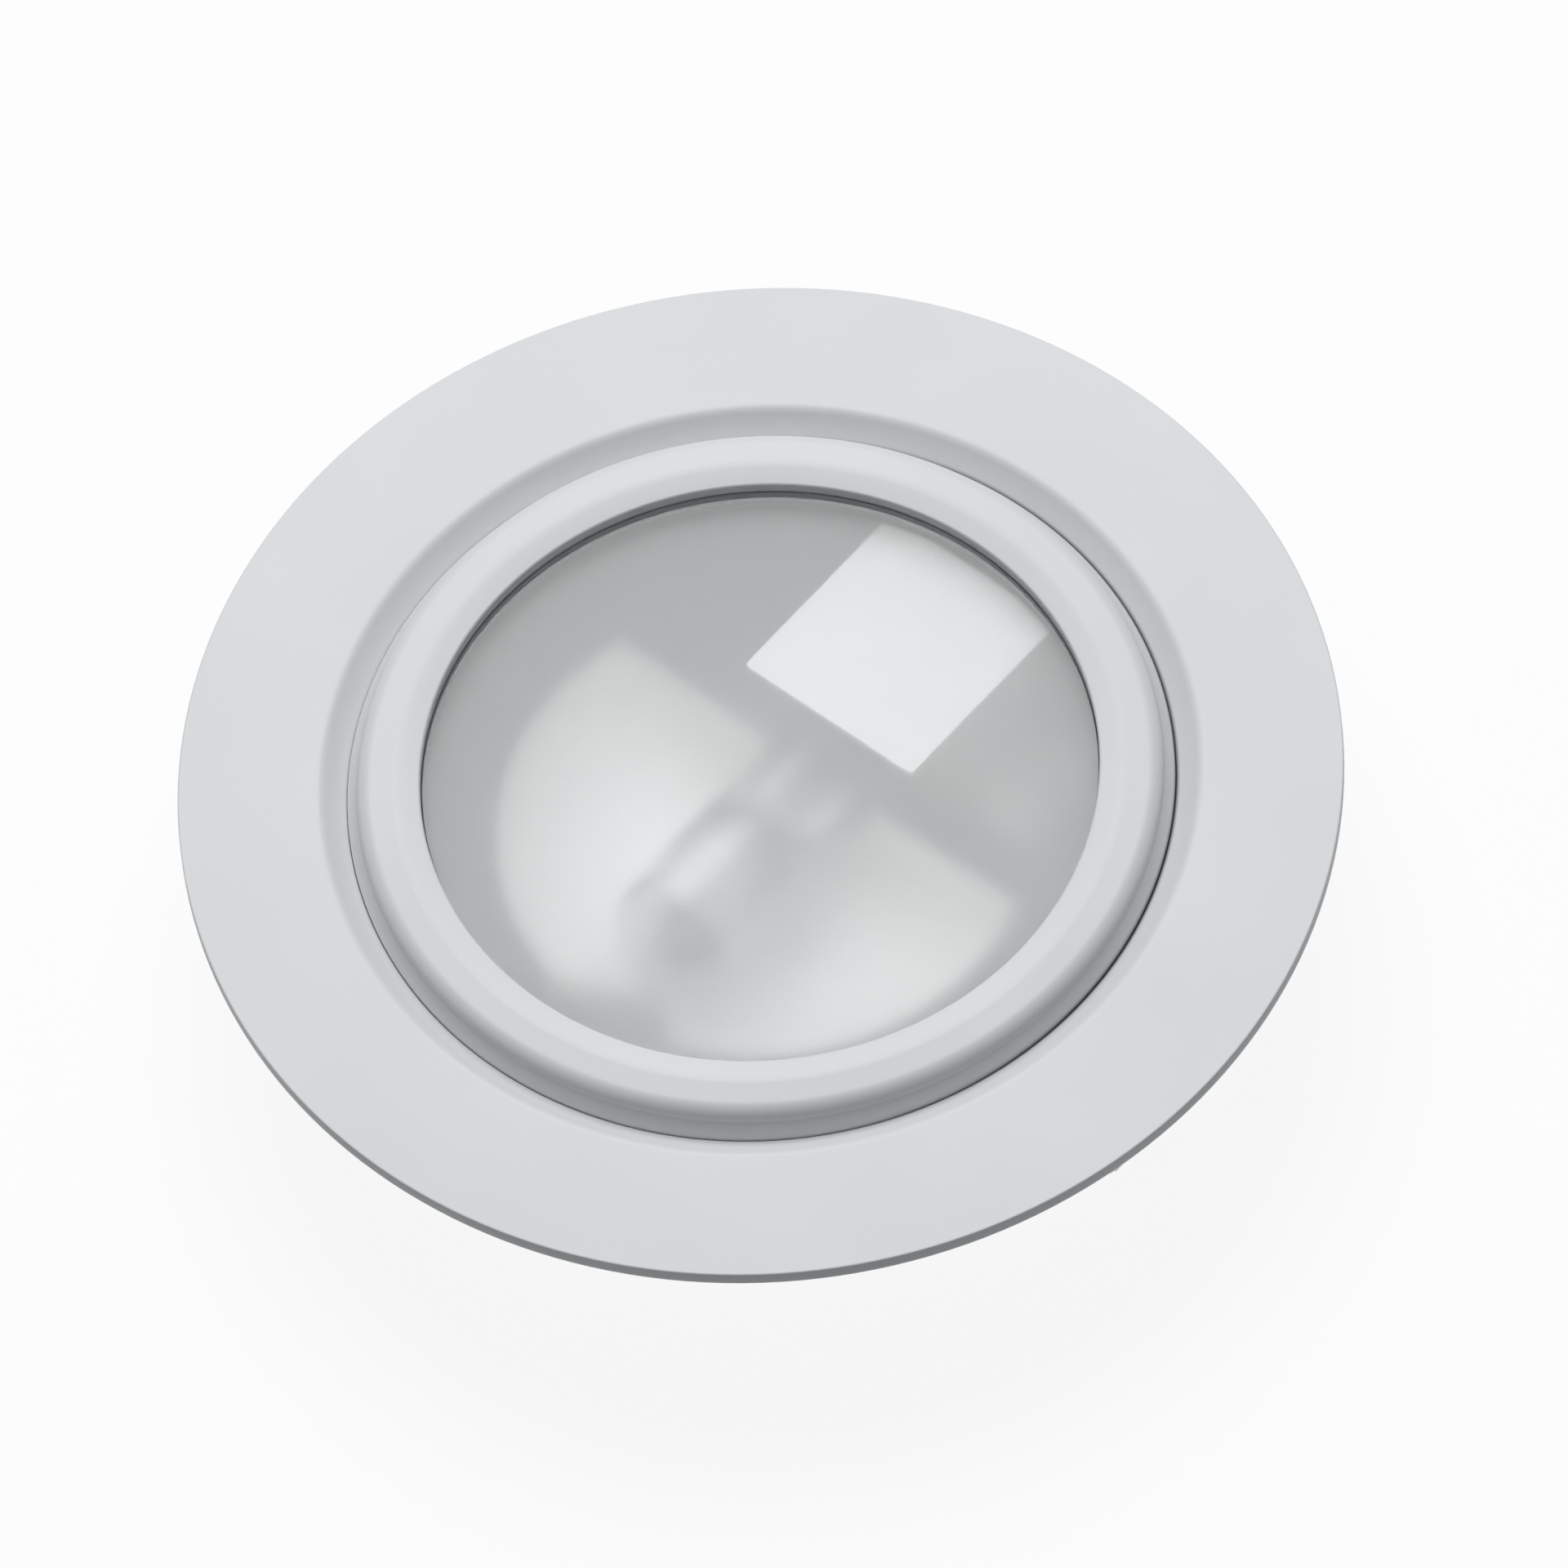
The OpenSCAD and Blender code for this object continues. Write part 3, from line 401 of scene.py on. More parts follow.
def satin_aluminium():
    finish, shader, place = start_finish("satin_aluminium")
    radius = from_axis(place)
    turns = radius.node("ShaderNodeCombineXYZ", {}, {"X": radius * (1 / SPIN_LINE)}, "Vector")
    rings = turns.node("ShaderNodeTexNoise", {}, {"Vector": turns, "Scale": 1.0, "Detail": 2.0}, "Fac")
    drift = cloud(place, 8)
    face = tint(rings * 0.5 + drift * 0.5, paint(254, 251, 248), paint(248, 245, 242))
    # Painted shade: the top of the rim is tinted a mid grey to dim its highlight.
    edge = step_between(height_of(place), PAN_RIM - RIM_SHADE_START, PAN_RIM - RIM_SHADE_FULL)
    dress(shader, tint(edge, face, paint(128, 128, 128)), 0.42 + rings * 0.16)
    emboss(shader, rings, 0.003)
    constant(shader, Metallic=0.2)
    return finish


aluminium = satin_aluminium()
print("made", aluminium.name)

# %% [markdown]
# Three materials that are not metal complete the inside: the unglazed ceramic of the lampholder
# with its dark specks, the soft grey silicone of the gasket and the cable grommet, and the clear
# quartz of the lamp.

# %% Ceramic, silicone and quartz
PRESS_START, PRESS_END = -2.2, -0.4
END_START, END_FULL = -8.4, -9.8
PORE_START, PORE_FULL = 0.62, 0.72
QUARTZ_INDEX = 1.46


def steatite_ceramic():
    finish, shader, place = start_finish("steatite")
    pores = step_between(cloud(place, 0.25), PORE_START, PORE_FULL)
    drift = cloud(place, 4)
    body = tint(drift, paint(238, 234, 224), paint(229, 224, 212))
    dress(shader, tint(pores * 0.5, body, paint(188, 178, 160)), 0.62 + drift * 0.15)
    emboss(shader, 1 - pores, 0.01)
    return finish


def grey_silicone():
    finish, shader, place = start_finish("silicone")
    skin = cloud(place, 0.5, 3.0)
    dress(shader, tint(skin, paint(150, 152, 151), paint(138, 140, 139)), 0.55 + skin * 0.15)
    emboss(shader, skin, 0.008)
    return finish


def clear_quartz():
    finish, shader, place = start_finish("quartz")
    ripple = cloud(place, 3.0)
    along = place.node("ShaderNodeSeparateXYZ", {}, {0: place}, "X") * (1 / MM)
    pressed = step_between(along, PRESS_START, PRESS_END)
    clear = tint(ripple, paint(246, 248, 249), paint(240, 242, 244))
    thick = 1 - step_between(along, END_FULL, END_START)
    # Painted shade: the pinch and the thick end are tinted a little darker grey.
    dull_and_shade = pressed.math("MAXIMUM", pressed, thick)
    dress(shader, tint(dull_and_shade, clear, paint(205, 208, 210)), 0.02 + ripple * 0.05 + pressed * 0.4)
    emboss(shader, ripple, 0.03)
    constant(shader, IOR=QUARTZ_INDEX, Transmission_Weight=1.0)
    return finish


steatite = steatite_ceramic()
silicone = grey_silicone()
quartz = clear_quartz()
print("finishes:", len(bpy.data.materials))

# %% [markdown]
# Shapes. Most of this light is turned on a lathe, so the main tool turns an outline of radius and
# height about the axis. An outline is written as corners with a rounding each, the way a drawing
# gives it, and the rounding is worked out as an arc that touches both neighbours. Where an edge is
# an oval or a groove, the corner is swapped for points of its own.

# %% Outlines with rounded corners
ARC_STEPS = 10


def oval(centre, half, start, end):
    """Points along part of an ellipse with two half axes, with angles in degrees."""
    angles = [math.radians(start + (end - start) * i / ARC_STEPS) for i in range(ARC_STEPS + 1)]
    return [Vector((centre[0] + half[0] * math.cos(a), centre[1] + half[1] * math.sin(a)))
            for a in angles]


def arc(centre, radius, start, end):
    """Points along an arc, with angles in degrees."""
    return oval(centre, (radius, radius), start, end)


def swap(outline, x, y, points):
    """The outline with one sharp corner swapped for other points."""
    spot = outline.index(Vector((x, y)))
    return outline[:spot] + points + outline[spot + 1:]


def rounded(corners):
    """A closed outline from corners of x, y and rounding."""
    points = []
    for i, (x, y, rounding) in enumerate(corners):
        here = Vector((x, y))
        back = (Vector(corners[i - 1][:2]) - here).normalized()
        ahead = (Vector(corners[(i + 1) % len(corners)][:2]) - here).normalized()
        if rounding == 0:
            points.append(here)
            continue
        half = back.angle(ahead) / 2
        centre = here + (back + ahead).normalized() * (rounding / math.sin(half))
        spoke = here + back * (rounding / math.tan(half)) - centre
        last = here + ahead * (rounding / math.tan(half)) - centre
        turn = math.atan2(spoke.x * last.y - spoke.y * last.x, spoke.dot(last))
        start = math.degrees(math.atan2(spoke.y, spoke.x))
        points += arc(centre, rounding, start, start + math.degrees(turn))
    return points


print("a rounded square has", len(rounded([(0, 0, 1), (4, 0, 1), (4, 4, 1), (0, 4, 1)])), "points")

# %% [markdown]
# An outline goes round the axis in even steps, and faces join each ring of points to the next. A
# finished mesh is smooth, except along edges that are sharp on the real piece. Each piece then
# names the body that it moves with and the nodes that it shows instead of.

# %% Turning, bridging and finishing a mesh
TURN_STEPS = 192
SHARP = math.radians(38)


def bridge(build, first, second):
    """Faces between two rings of vertices, where a ring may be a single point."""
    count = max(len(first), len(second))
    for i in range(count if count > 1 else 0):
        j = i + 1
        corners = [first[i % len(first)], first[j % len(first)]]
        corners += [second[j % len(second)], second[i % len(second)]]
        build.faces.new(list(dict.fromkeys(corners)))


def keep(name, build, finish, hollow=()):
    """Turns a build into an object, smooth except along sharp edges. Faces of a hollow look inwards."""
    bmesh.ops.recalc_face_normals(build, faces=build.faces)
    bmesh.ops.reverse_faces(build, faces=list(hollow))
    mesh = bpy.data.meshes.new(name)
    build.to_mesh(mesh)
    build.free()
    mesh.shade_smooth()
    mesh.set_sharp_from_angle(angle=SHARP)
    mesh.materials.append(finish)
    made = bpy.data.objects.new(name, mesh)
    bpy.context.scene.collection.objects.link(made)
    return made


def turn(outline):
    """A closed outline of radius and height in millimetres, turned about the axis."""
    build = bmesh.new()
    angles = [math.tau * i / TURN_STEPS for i in range(TURN_STEPS)]
    rings = []
    for r, z in outline:
        around = angles if r > 0 else angles[:1]
        ring = [(r * math.cos(a) * MM, r * math.sin(a) * MM, z * MM) for a in around]
        rings.append([build.verts.new(p) for p in ring])
    for low, high in zip(rings, rings[1:] + rings[:1]):
        bridge(build, low, high)
    return build


def stand_for(piece, body, slot, *nodes):
    """The piece moves with a body and shows instead of some nodes. The slot is not used."""
    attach(piece, body)
    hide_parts(*nodes)
    print(piece.name, "stands for", nodes, "with", len(piece.data.polygons), "faces")


print("turning in", TURN_STEPS, "steps")

# %% [markdown]
# The trim flange is cast in zinc and painted. Its flat face ends in a low rounded rim outside and
# rolls over a soft crest inside, then falls to the collar that takes the bezel. Behind it stand the
# collar with its groove for the snap ring, a ledge that the bezel seats on, and a rib that finds
# the hole in the panel.

# %% Trim flange
flange_low, flange_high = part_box("trim_flange")
FLANGE_R = flange_high.x / MM
FACE_Z = flange_high.z / MM
COLLAR_FOOT = flange_low.z / MM
RIM_W, RIM_H = 0.14, 0.07
BACK_ROUND = 0.65
CREST_R = 29.45
CREST_ROUND = 1.2
FOOT_Z = 0.45
COLLAR_IN = 28.0
COLLAR_OUT = 29.2
LEDGE_IN = 26.6
SEAT_Z = -4.4
RIB_IN, RIB_OUT, RIB_Z = 32.75, 33.75, -3.0
SNAP_Z = -3.3
GROOVE_R = 0.55
EDGE = 0.12
SEAM_LIP = 0.27
LIP_CURVE = 0.3
LIP_DEPTH = 0.6
LIP_Z = FOOT_Z - SEAM_LIP * (FACE_Z - FOOT_Z) / (CREST_R - COLLAR_IN)


def trim_flange():
    outline = rounded([
        (FLANGE_R, 0, BACK_ROUND), (FLANGE_R, FACE_Z, 0), (CREST_R, FACE_Z, CREST_ROUND),
        (COLLAR_IN - SEAM_LIP, LIP_Z, LIP_CURVE), (COLLAR_IN - SEAM_LIP, LIP_Z - LIP_DEPTH, 0),
        (COLLAR_IN, LIP_Z - LIP_DEPTH - SEAM_LIP, 0),
        (COLLAR_IN, SNAP_Z, 0), (COLLAR_IN, SEAT_Z, 0), (LEDGE_IN, SEAT_Z, EDGE),
        (LEDGE_IN, COLLAR_FOOT, EDGE), (COLLAR_OUT, COLLAR_FOOT, EDGE), (COLLAR_OUT, 0, 0),
        (RIB_IN, 0, 0), (RIB_IN, RIB_Z, EDGE), (RIB_OUT, RIB_Z, EDGE), (RIB_OUT, 0, 0)])
    rim = oval((FLANGE_R - RIM_W, FACE_Z - RIM_H), (RIM_W, RIM_H), 0, 90)
    outline = swap(outline, FLANGE_R, FACE_Z, rim)
    outline = swap(outline, COLLAR_IN, SNAP_Z, arc((COLLAR_IN, SNAP_Z), GROOVE_R, 90, -90))
    return keep("trim_flange_dressed", turn(outline), enamel)


flange = trim_flange()
stand_for(flange, "housing", "white_enamel", "trim_flange")

# %% [markdown]
# The bezel is the raised ring in the middle. Its skirt goes down into the collar. Above the seam
# the wall leans in, turns upright in a soft hollow, and rolls over a broad shoulder to the top,
# which is a little crowned and ends in a rounded lip round the glass. Grooves inside and outside
# take the two wire rings.

# %% Bezel ring
bezel_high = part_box("bezel_ring")[1]
SKIRT_R = bezel_high.x / MM
TOP_Z = bezel_high.z / MM
OPENING_R = 22.72
LIP_W, LIP_FALL = 1.6, 0.27
LIP_BEND, LIP_ROUND = 3.0, 0.2
CROWN = 0.2
SHOULDER_W, SHOULDER_H = 1.2, 0.9
SHOULDER_Z = TOP_Z - CROWN
WALL_R = 27.02
WALL_DROP = 0.1
WALL_HOLLOW = 0.3
LENS_EDGE = 0.25
LENS_STEP_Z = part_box("lens_glass")[0].z / MM + LENS_EDGE
POCKET_R = 25.65
CIRCLIP_Z = -1.8


def bezel_ring():
    outline = rounded([
        (SKIRT_R, SEAT_Z, EDGE), (SKIRT_R, SNAP_Z, 0), (SKIRT_R, FOOT_Z, EDGE),
        (WALL_R, SHOULDER_Z - SHOULDER_H - WALL_DROP, WALL_HOLLOW), (WALL_R, SHOULDER_Z, 0),
        (OPENING_R + LIP_W, TOP_Z, LIP_BEND), (OPENING_R, TOP_Z - LIP_FALL, LIP_ROUND),
        (OPENING_R, LENS_STEP_Z, EDGE / 2), (POCKET_R, LENS_STEP_Z, 0),
        (POCKET_R, CIRCLIP_Z, 0), (POCKET_R, SEAT_Z, EDGE)])
    shoulder = oval((WALL_R - SHOULDER_W, SHOULDER_Z - SHOULDER_H), (SHOULDER_W, SHOULDER_H), 0, 90)
    bite = math.degrees(math.acos((COLLAR_IN - SKIRT_R) / GROOVE_R))
    snap_groove = arc((COLLAR_IN, SNAP_Z), GROOVE_R, 180 + bite, 180 - bite)
    circlip_groove = arc((POCKET_R, CIRCLIP_Z), GROOVE_R, 90, -90)
    outline = swap(outline, WALL_R, SHOULDER_Z, shoulder)
    outline = swap(outline, SKIRT_R, SNAP_Z, snap_groove)
    outline = swap(outline, POCKET_R, CIRCLIP_Z, circlip_groove)
    return keep("bezel_ring_dressed", turn(outline), enamel)


bezel = bezel_ring()
stand_for(bezel, "bezel", "white_enamel", "bezel_ring")

# %% [markdown]
# The glass is a disc with a ground step, so that its front fills the opening and its thin back edge
# sits behind the lip. Faces that look up are polished, those that look down are etched, and the
# edges are ground. Seen at a slant, the ground step makes the grey band at the far edge of the
# opening.

# %% Frosted glass
lens_low, lens_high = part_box("lens_glass")
GROUND_EDGE = 0.1
STEP_CLEAR = 0.06
FLAT = 0.9


def frosted_glass():
    radius, low, high = lens_high.x / MM, lens_low.z / MM, lens_high.z / MM
    step = OPENING_R - STEP_CLEAR
    outline = rounded([
        (0, low, 0), (radius, low, GROUND_EDGE), (radius, LENS_STEP_Z, GROUND_EDGE),
        (step, LENS_STEP_Z, 0), (step, high, STEP_CLEAR), (0, high, 0)])
    made = keep("lens_glass_dressed", turn(outline), clear_face)
    made.data.materials.append(etched_face)
    made.data.materials.append(ground_edge)
    for face in made.data.polygons:
        face.material_index = 0 if face.normal.z > FLAT else 1 if face.normal.z < -FLAT else 2
    return made


glass = frosted_glass()
stand_for(glass, "bezel", "frosted_glass", "lens_glass")

# %% [markdown]
# The shield is a bent sheet bridge over the lampholder: a flat top that shows through the glass as
# a bright white card, two cheeks and two feet. The top is a plate with two rounded corners and an
# end cut round to clear the gasket, and each cheek with its foot is one strip with a real bend
# radius, so the folds catch the light.

# %% Bent sheet
def prism(build, outline, start, along):
    """A closed flat outline, given as points in space, pushed along a vector."""
    first = [build.verts.new(start + p) for p in outline]
    second = [build.verts.new(start + p + along) for p in outline]
    bridge(build, first, second)
    build.faces.new(first)
    build.faces.new(second[::-1])


def strip(path, sheet, bend):
    """Outline of a bent sheet around a path of corners, in the path's own plane."""
    left, right = [], []
    for i, here in enumerate(path):
        before = (here - path[max(i - 1, 0)]).normalized()
        after = (path[min(i + 1, len(path) - 1)] - here).normalized()
        way = (before + after).normalized()
        side = Vector((-way.y, way.x))
        off_after = side.dot(Vector((-after.y, after.x)))
        off_before = side.dot(Vector((-before.y, before.x)))
        spread = sheet / 2 / max(off_after, off_before)
        ends = i in (0, len(path) - 1)
        opening = before.x * after.y - before.y * after.x
        left.append((*(here + side * spread), 0 if ends else bend + (sheet if opening < 0 else 0)))
        right.append((*(here - side * spread), 0 if ends else bend + (sheet if opening > 0 else 0)))
    return rounded(left + right[::-1])


bent_once = strip([Vector((0, 0)), Vector((5, 0)), Vector((5, 5))], 0.5, 0.4)
print("a sheet bent once has", len(bent_once), "points")

# %% [markdown]
# The top of the shield falls a little towards its round end. The cheeks stand under it on both sides
# of the ceramic block, and their feet turn outwards to the floor of the can.

# %% Lampholder shield
shield_low, shield_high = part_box("lampholder_shield")
SHIELD_SHEET = 0.5
SHIELD_FALL = math.radians(2.5)
SHIELD_CORNER = 0.35
SHIELD_HALF = 7.175
SHIELD_BEND = 0.3
SHIELD_REACH = 22.65
END_STEPS = 16
CHEEK_START, CHEEK_END = 12.4, 19.4


def lampholder_shield():
    build = bmesh.new()
    start, end = shield_low.x / MM, shield_high.x / MM
    floor, top = shield_low.z / MM, shield_high.z / MM
    across = [SHIELD_HALF * (2 * i / END_STEPS - 1) for i in range(END_STEPS + 1)]
    round_end = [(min(end, math.sqrt(SHIELD_REACH ** 2 - y ** 2)) - start, y, 0) for y in across]
    card = rounded([(0, SHIELD_HALF, SHIELD_CORNER), (0, -SHIELD_HALF, SHIELD_CORNER)] + round_end)
    lean = Matrix.Rotation(SHIELD_FALL, 3, "Y")
    plate = [lean @ Vector((p.x, p.y, 0)) * MM for p in card]
    prism(build, plate, Vector((start, 0, top)) * MM, lean @ Vector((0, 0, -SHIELD_SHEET)) * MM)
    half = SHIELD_SHEET / 2
    under = top - (CHEEK_END - start) * math.tan(SHIELD_FALL) - half
    for side in (1, -1):
        path = [Vector((SHIELD_HALF - half, under)), Vector((SHIELD_HALF - half, floor + half)),
                Vector((shield_high.y / MM, floor + half))]
        cheek = [Vector((0, side * p.x, p.y)) * MM for p in strip(path, SHIELD_SHEET, SHIELD_BEND)]
        cheek_start = Vector((CHEEK_START, 0, 0)) * MM
        prism(build, cheek, cheek_start, Vector((CHEEK_END - CHEEK_START, 0, 0)) * MM)
    return keep("lampholder_shield_dressed", build, shield_white)


shield = lampholder_shield()
stand_for(shield, "housing", "shield_enamel", "lampholder_shield")

# %% [markdown]
# The lamp is a quartz capsule: a round bulb with a blunt thick end and a drop where it was sealed
# off, squeezed flat into a pinch that holds the pins. A loft suits it, with rings that go from a
# circle to a flat rounded rectangle. The hollow inside is a second skin in the same mesh, so light
# is bent at both walls. The pinch is dull from the press. The pinch and the thick end are also
# painted a little darker grey, as painted shade.

# %% Quartz capsule
lamp_low, lamp_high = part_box("lamp_envelope")
LAMP_R = 4.5
LAMP_Z = (lamp_low.z + lamp_high.z) / 2 / MM
PINCH_HALF_W = 4.0
PINCH_HALF_T = 1.7
PINCH_SQUARE = 4.0
PINCH_EDGE = 0.25
TIP_R = 0.9
DOME_X = -9.9
DOME_L = 2.2
HOLLOW_X = -7.7
NECK_X = -1.7
PINCH_X = 0.5
NECK_L, NECK_IN = 1.1, 2.2
QUARTZ_WALL = 0.8
LAMP_STEPS = 64
ROUND = 2.0
DROP_START, DROP_TURN, DROP_RINGS = 10, 14, 6
DROP_MARGIN = 1.12
DOME_STEPS, NECK_STEPS = 16, 12
HOLLOW_START, HOLLOW_TURN, HOLLOW_RINGS = 6, 6, 15
HOLLOW_NECK_STEPS = 8


def squared(angle, half_w, half_t, power):
    """A point of a ring that goes from round, at a power of 2, to nearly square."""
    c, s = math.cos(angle), math.sin(angle)
    wide = math.copysign(abs(c) ** (2 / power), c)
    thick = math.copysign(abs(s) ** (2 / power), s)
    return half_w * wide, half_t * thick


def capsule_rings():
    """Place along the lamp, half width, half thickness and squareness of each ring of the skin."""
    tip_x, base = lamp_low.x / MM, lamp_high.x / MM
    drop = [math.radians(DROP_START + DROP_TURN * i) for i in range(DROP_RINGS)]
    rings = [(tip_x + TIP_R * (1 - math.cos(a)), TIP_R * math.sin(a), TIP_R * math.sin(a), ROUND)
             for a in drop]
    start = math.asin(TIP_R / LAMP_R) * DROP_MARGIN
    for i in range(DOME_STEPS + 1):
        a = start + (math.pi / 2 - start) * i / DOME_STEPS
        rings.append((DOME_X - DOME_L * math.cos(a), LAMP_R * math.sin(a), LAMP_R * math.sin(a), ROUND))
    for i in range(NECK_STEPS + 1):
        share = i / NECK_STEPS
        ease = share * share * (3 - 2 * share)
        rings.append((NECK_X + (PINCH_X - NECK_X) * share, LAMP_R + (PINCH_HALF_W - LAMP_R) * ease,
                      LAMP_R + (PINCH_HALF_T - LAMP_R) * ease, ROUND + PINCH_SQUARE * ease))
    square = ROUND + PINCH_SQUARE
    rings.append((base - PINCH_EDGE, PINCH_HALF_W, PINCH_HALF_T, square))
    rings.append((base, PINCH_HALF_W - PINCH_EDGE, PINCH_HALF_T - PINCH_EDGE, square))
    return rings


def hollow_rings():
    """The same for the hollow in the bulb, which ends in a blunt neck."""
    radius = LAMP_R - QUARTZ_WALL
    dome = [math.radians(HOLLOW_START + HOLLOW_TURN * i) for i in range(HOLLOW_RINGS)]
    rings = [(HOLLOW_X - DOME_L * math.cos(a), radius * math.sin(a), radius * math.sin(a), ROUND)
             for a in dome]
    for i in range(HOLLOW_NECK_STEPS + 1):
        a = math.radians(90 * i / HOLLOW_NECK_STEPS)
        half = radius - NECK_IN * (1 - math.cos(a))
        rings.append((NECK_X + NECK_L * math.sin(a), half, half, ROUND))
    return rings


def loft(build, sections):
    """A closed skin through rings across the lamp."""
    angles = [math.tau * i / LAMP_STEPS for i in range(LAMP_STEPS)]
    rings = []
    for x, half_w, half_t, power in sections:
        ring = [squared(a, half_w, half_t, power) for a in angles]
        rings.append([build.verts.new((x * MM, y * MM, (LAMP_Z + z) * MM)) for y, z in ring])
    for low, high in zip(rings, rings[1:]):
        bridge(build, low, high)
    build.faces.new(rings[0])
    build.faces.new(rings[-1])


def quartz_capsule():
    build = bmesh.new()
    loft(build, capsule_rings())
    skin = set(build.faces)
    loft(build, hollow_rings())
    return keep("lamp_envelope_dressed", build, quartz, [f for f in build.faces if f not in skin])


capsule = quartz_capsule()
stand_for(capsule, "lamp", "quartz", "lamp_envelope")

# %% [markdown]
# Wire. The filament, the two wire rings and the torsion springs of the clips are all round wire
# along a path. A tube is swept along the path with a frame that never twists, and its ends are
# rounded like cut and tumbled wire.

# %% Round wire along a path
WIRE_SIDES = 14
WIRE_TIP, WIRE_CURVE = 0.35, 0.8
TIP_DEPTH = 0.25
RING_STEPS = 160
RING_WIRE = 1.0
SNAP_GAP, CIRCLIP_GAP = 14, 40


def wire(name, path, diameter, finish):
    """A tube along points in millimetres."""
    build = bmesh.new()
    radius = diameter / 2
    side = None
    rings = []
    last = len(path) - 1
    ways = [(path[min(i + 1, last)] - path[max(i - 1, 0)]).normalized() for i in range(len(path))]
    stops = [(0, path[0], WIRE_TIP), (0, path[0] + ways[0] * radius * TIP_DEPTH, WIRE_CURVE)]
    stops += [(i, p, 1.0) for i, p in enumerate(path)][1:-1]
    stops += [(-1, path[-1] - ways[-1] * radius * TIP_DEPTH, WIRE_CURVE), (-1, path[-1], WIRE_TIP)]
    for i, spot, share in stops:
        way = ways[i]
        across = way.orthogonal() if side is None else side - way * side.dot(way)
        side = across.normalized()
        up = way.cross(side)
        turns = [math.tau * k / WIRE_SIDES for k in range(WIRE_SIDES)]
        ring = [spot + (side * math.cos(a) + up * math.sin(a)) * radius * share for a in turns]
        rings.append([build.verts.new(p * MM) for p in ring])
    for low, high in zip(rings, rings[1:]):
        bridge(build, low, high)
    build.faces.new(rings[0])
    build.faces.new(rings[-1])
    return keep(name, build, finish)


def open_ring(radius, z, gap):
    """Points of a ring parallel to the flange, open by an angle towards the lampholder."""
    angles = [math.radians(gap / 2 + (360 - gap) * i / RING_STEPS) for i in range(RING_STEPS + 1)]
    return [Vector((radius * math.cos(a), radius * math.sin(a), z)) for a in angles]


snap_path = open_ring(COLLAR_IN, SNAP_Z, SNAP_GAP)
snap = wire("snap_ring_dressed", snap_path, RING_WIRE, spring_wire)
stand_for(snap, "housing", "spring_wire", "snap_ring")
circlip_path = open_ring(POCKET_R, CIRCLIP_Z, CIRCLIP_GAP)
circlip = wire("lens_circlip_dressed", circlip_path, RING_WIRE, spring_wire)
stand_for(circlip, "bezel", "spring_wire", "lens_circlip")

# %% [markdown]
# The filament is a small coil across the bulb. Two straight legs lead from its ends back to the foils
# in the pinch.

# %% Filament
FILAMENT_X = -7.1
FILAMENT_R = 0.6
FILAMENT_TURNS = 5.5
FILAMENT_PITCH = 0.66
FILAMENT_BACK = -0.62
FILAMENT_WIRE = 0.2
TURN_POINTS = 24


def filament_path():
    half = FILAMENT_TURNS * FILAMENT_PITCH / 2
    count = int(FILAMENT_TURNS * TURN_POINTS)
    coil = []
    for i in range(count + 1):
        a = math.pi / 2 + math.tau * i / TURN_POINTS
        y = FILAMENT_PITCH * i / TURN_POINTS - half
        x, z = FILAMENT_X + FILAMENT_R * math.cos(a), LAMP_Z + FILAMENT_R * math.sin(a)
        coil.append(Vector((x, y, z)))
    start, end = coil[0], coil[-1]
    legs = [Vector((FILAMENT_BACK, p.y, p.z)) for p in (start, end)]
    return [legs[0], (legs[0] + start) / 2] + coil + [(legs[1] + end) / 2, legs[1]]


filament = wire("lamp_filament_dressed", filament_path(), FILAMENT_WIRE, molybdenum)
stand_for(filament, "lamp", "molybdenum", "lamp_filament")

# %% [markdown]
# A torsion spring sits on each clip's pin. One leg lies along the bracket and stays with the
# housing, the other pushes the arm and turns with it.

# %% Torsion springs
SPRING_WIRE = 0.5
SPRING_R = 1.1
SPRING_SPAN = 4.36
SPRING_TURNS = 4
FIXED_LEG = 1.9
MOVING_LEG = 4.6
ARM_LEAN = 30.0
LEG_INSET = 0.52
LEG_TURN_IN = math.degrees(math.asin(LEG_INSET / MOVING_LEG))
hinge = {joint["name"]: joint for joint in frame["joints"]}["left_clip_fold"]["pos_m"]


def spring_path():
    """Points of the spring at the clip on the left, in millimetres."""
    pin = Vector((0, hinge[1] / MM, hinge[2] / MM))
    last = 180 - ARM_LEAN - LEG_TURN_IN - 360 * SPRING_TURNS
    count = int((180 - last) / 360 * TURN_POINTS)
    coil = []
    for i in range(count + 1):
        a = math.radians(180 + (last - 180) * i / count)
        x = SPRING_SPAN * (i / count - 0.5)
        coil.append(pin + Vector((x, SPRING_R * math.cos(a), SPRING_R * math.sin(a))))
    lean = math.radians(ARM_LEAN + LEG_TURN_IN)
    way = Vector((0, math.sin(lean), math.cos(lean)))
    down = Vector((0, 0, -1))
    fixed = [coil[0] + down * FIXED_LEG, coil[0] + down * FIXED_LEG / 2, coil[0] + down * SPRING_WIRE]
    moving = [coil[-1] + way * SPRING_WIRE, coil[-1] + way * MOVING_LEG / 2, coil[-1] + way * MOVING_LEG]
    return fixed + coil + moving


def torsion_spring(side, turn_by):
    half_turn = Matrix.Rotation(math.radians(turn_by), 3, "Z")
    path = [half_turn @ p for p in spring_path()]
    made = wire(f"{side}_clip_spring_dressed", path, SPRING_WIRE, spring_wire)
    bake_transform(made)
    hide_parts(f"{side}_clip_spring")
    print(made.name, "turns with the arm of the", side, "clip")


torsion_spring("left", 0)
torsion_spring("right", 180)

# %% [markdown]
# The other nodes have the right shape already, so they keep it and only take a finish: the can, the
# pan behind the lamp, the brackets and arms of the clips, the ceramic block, the contacts and the
# small fasteners.

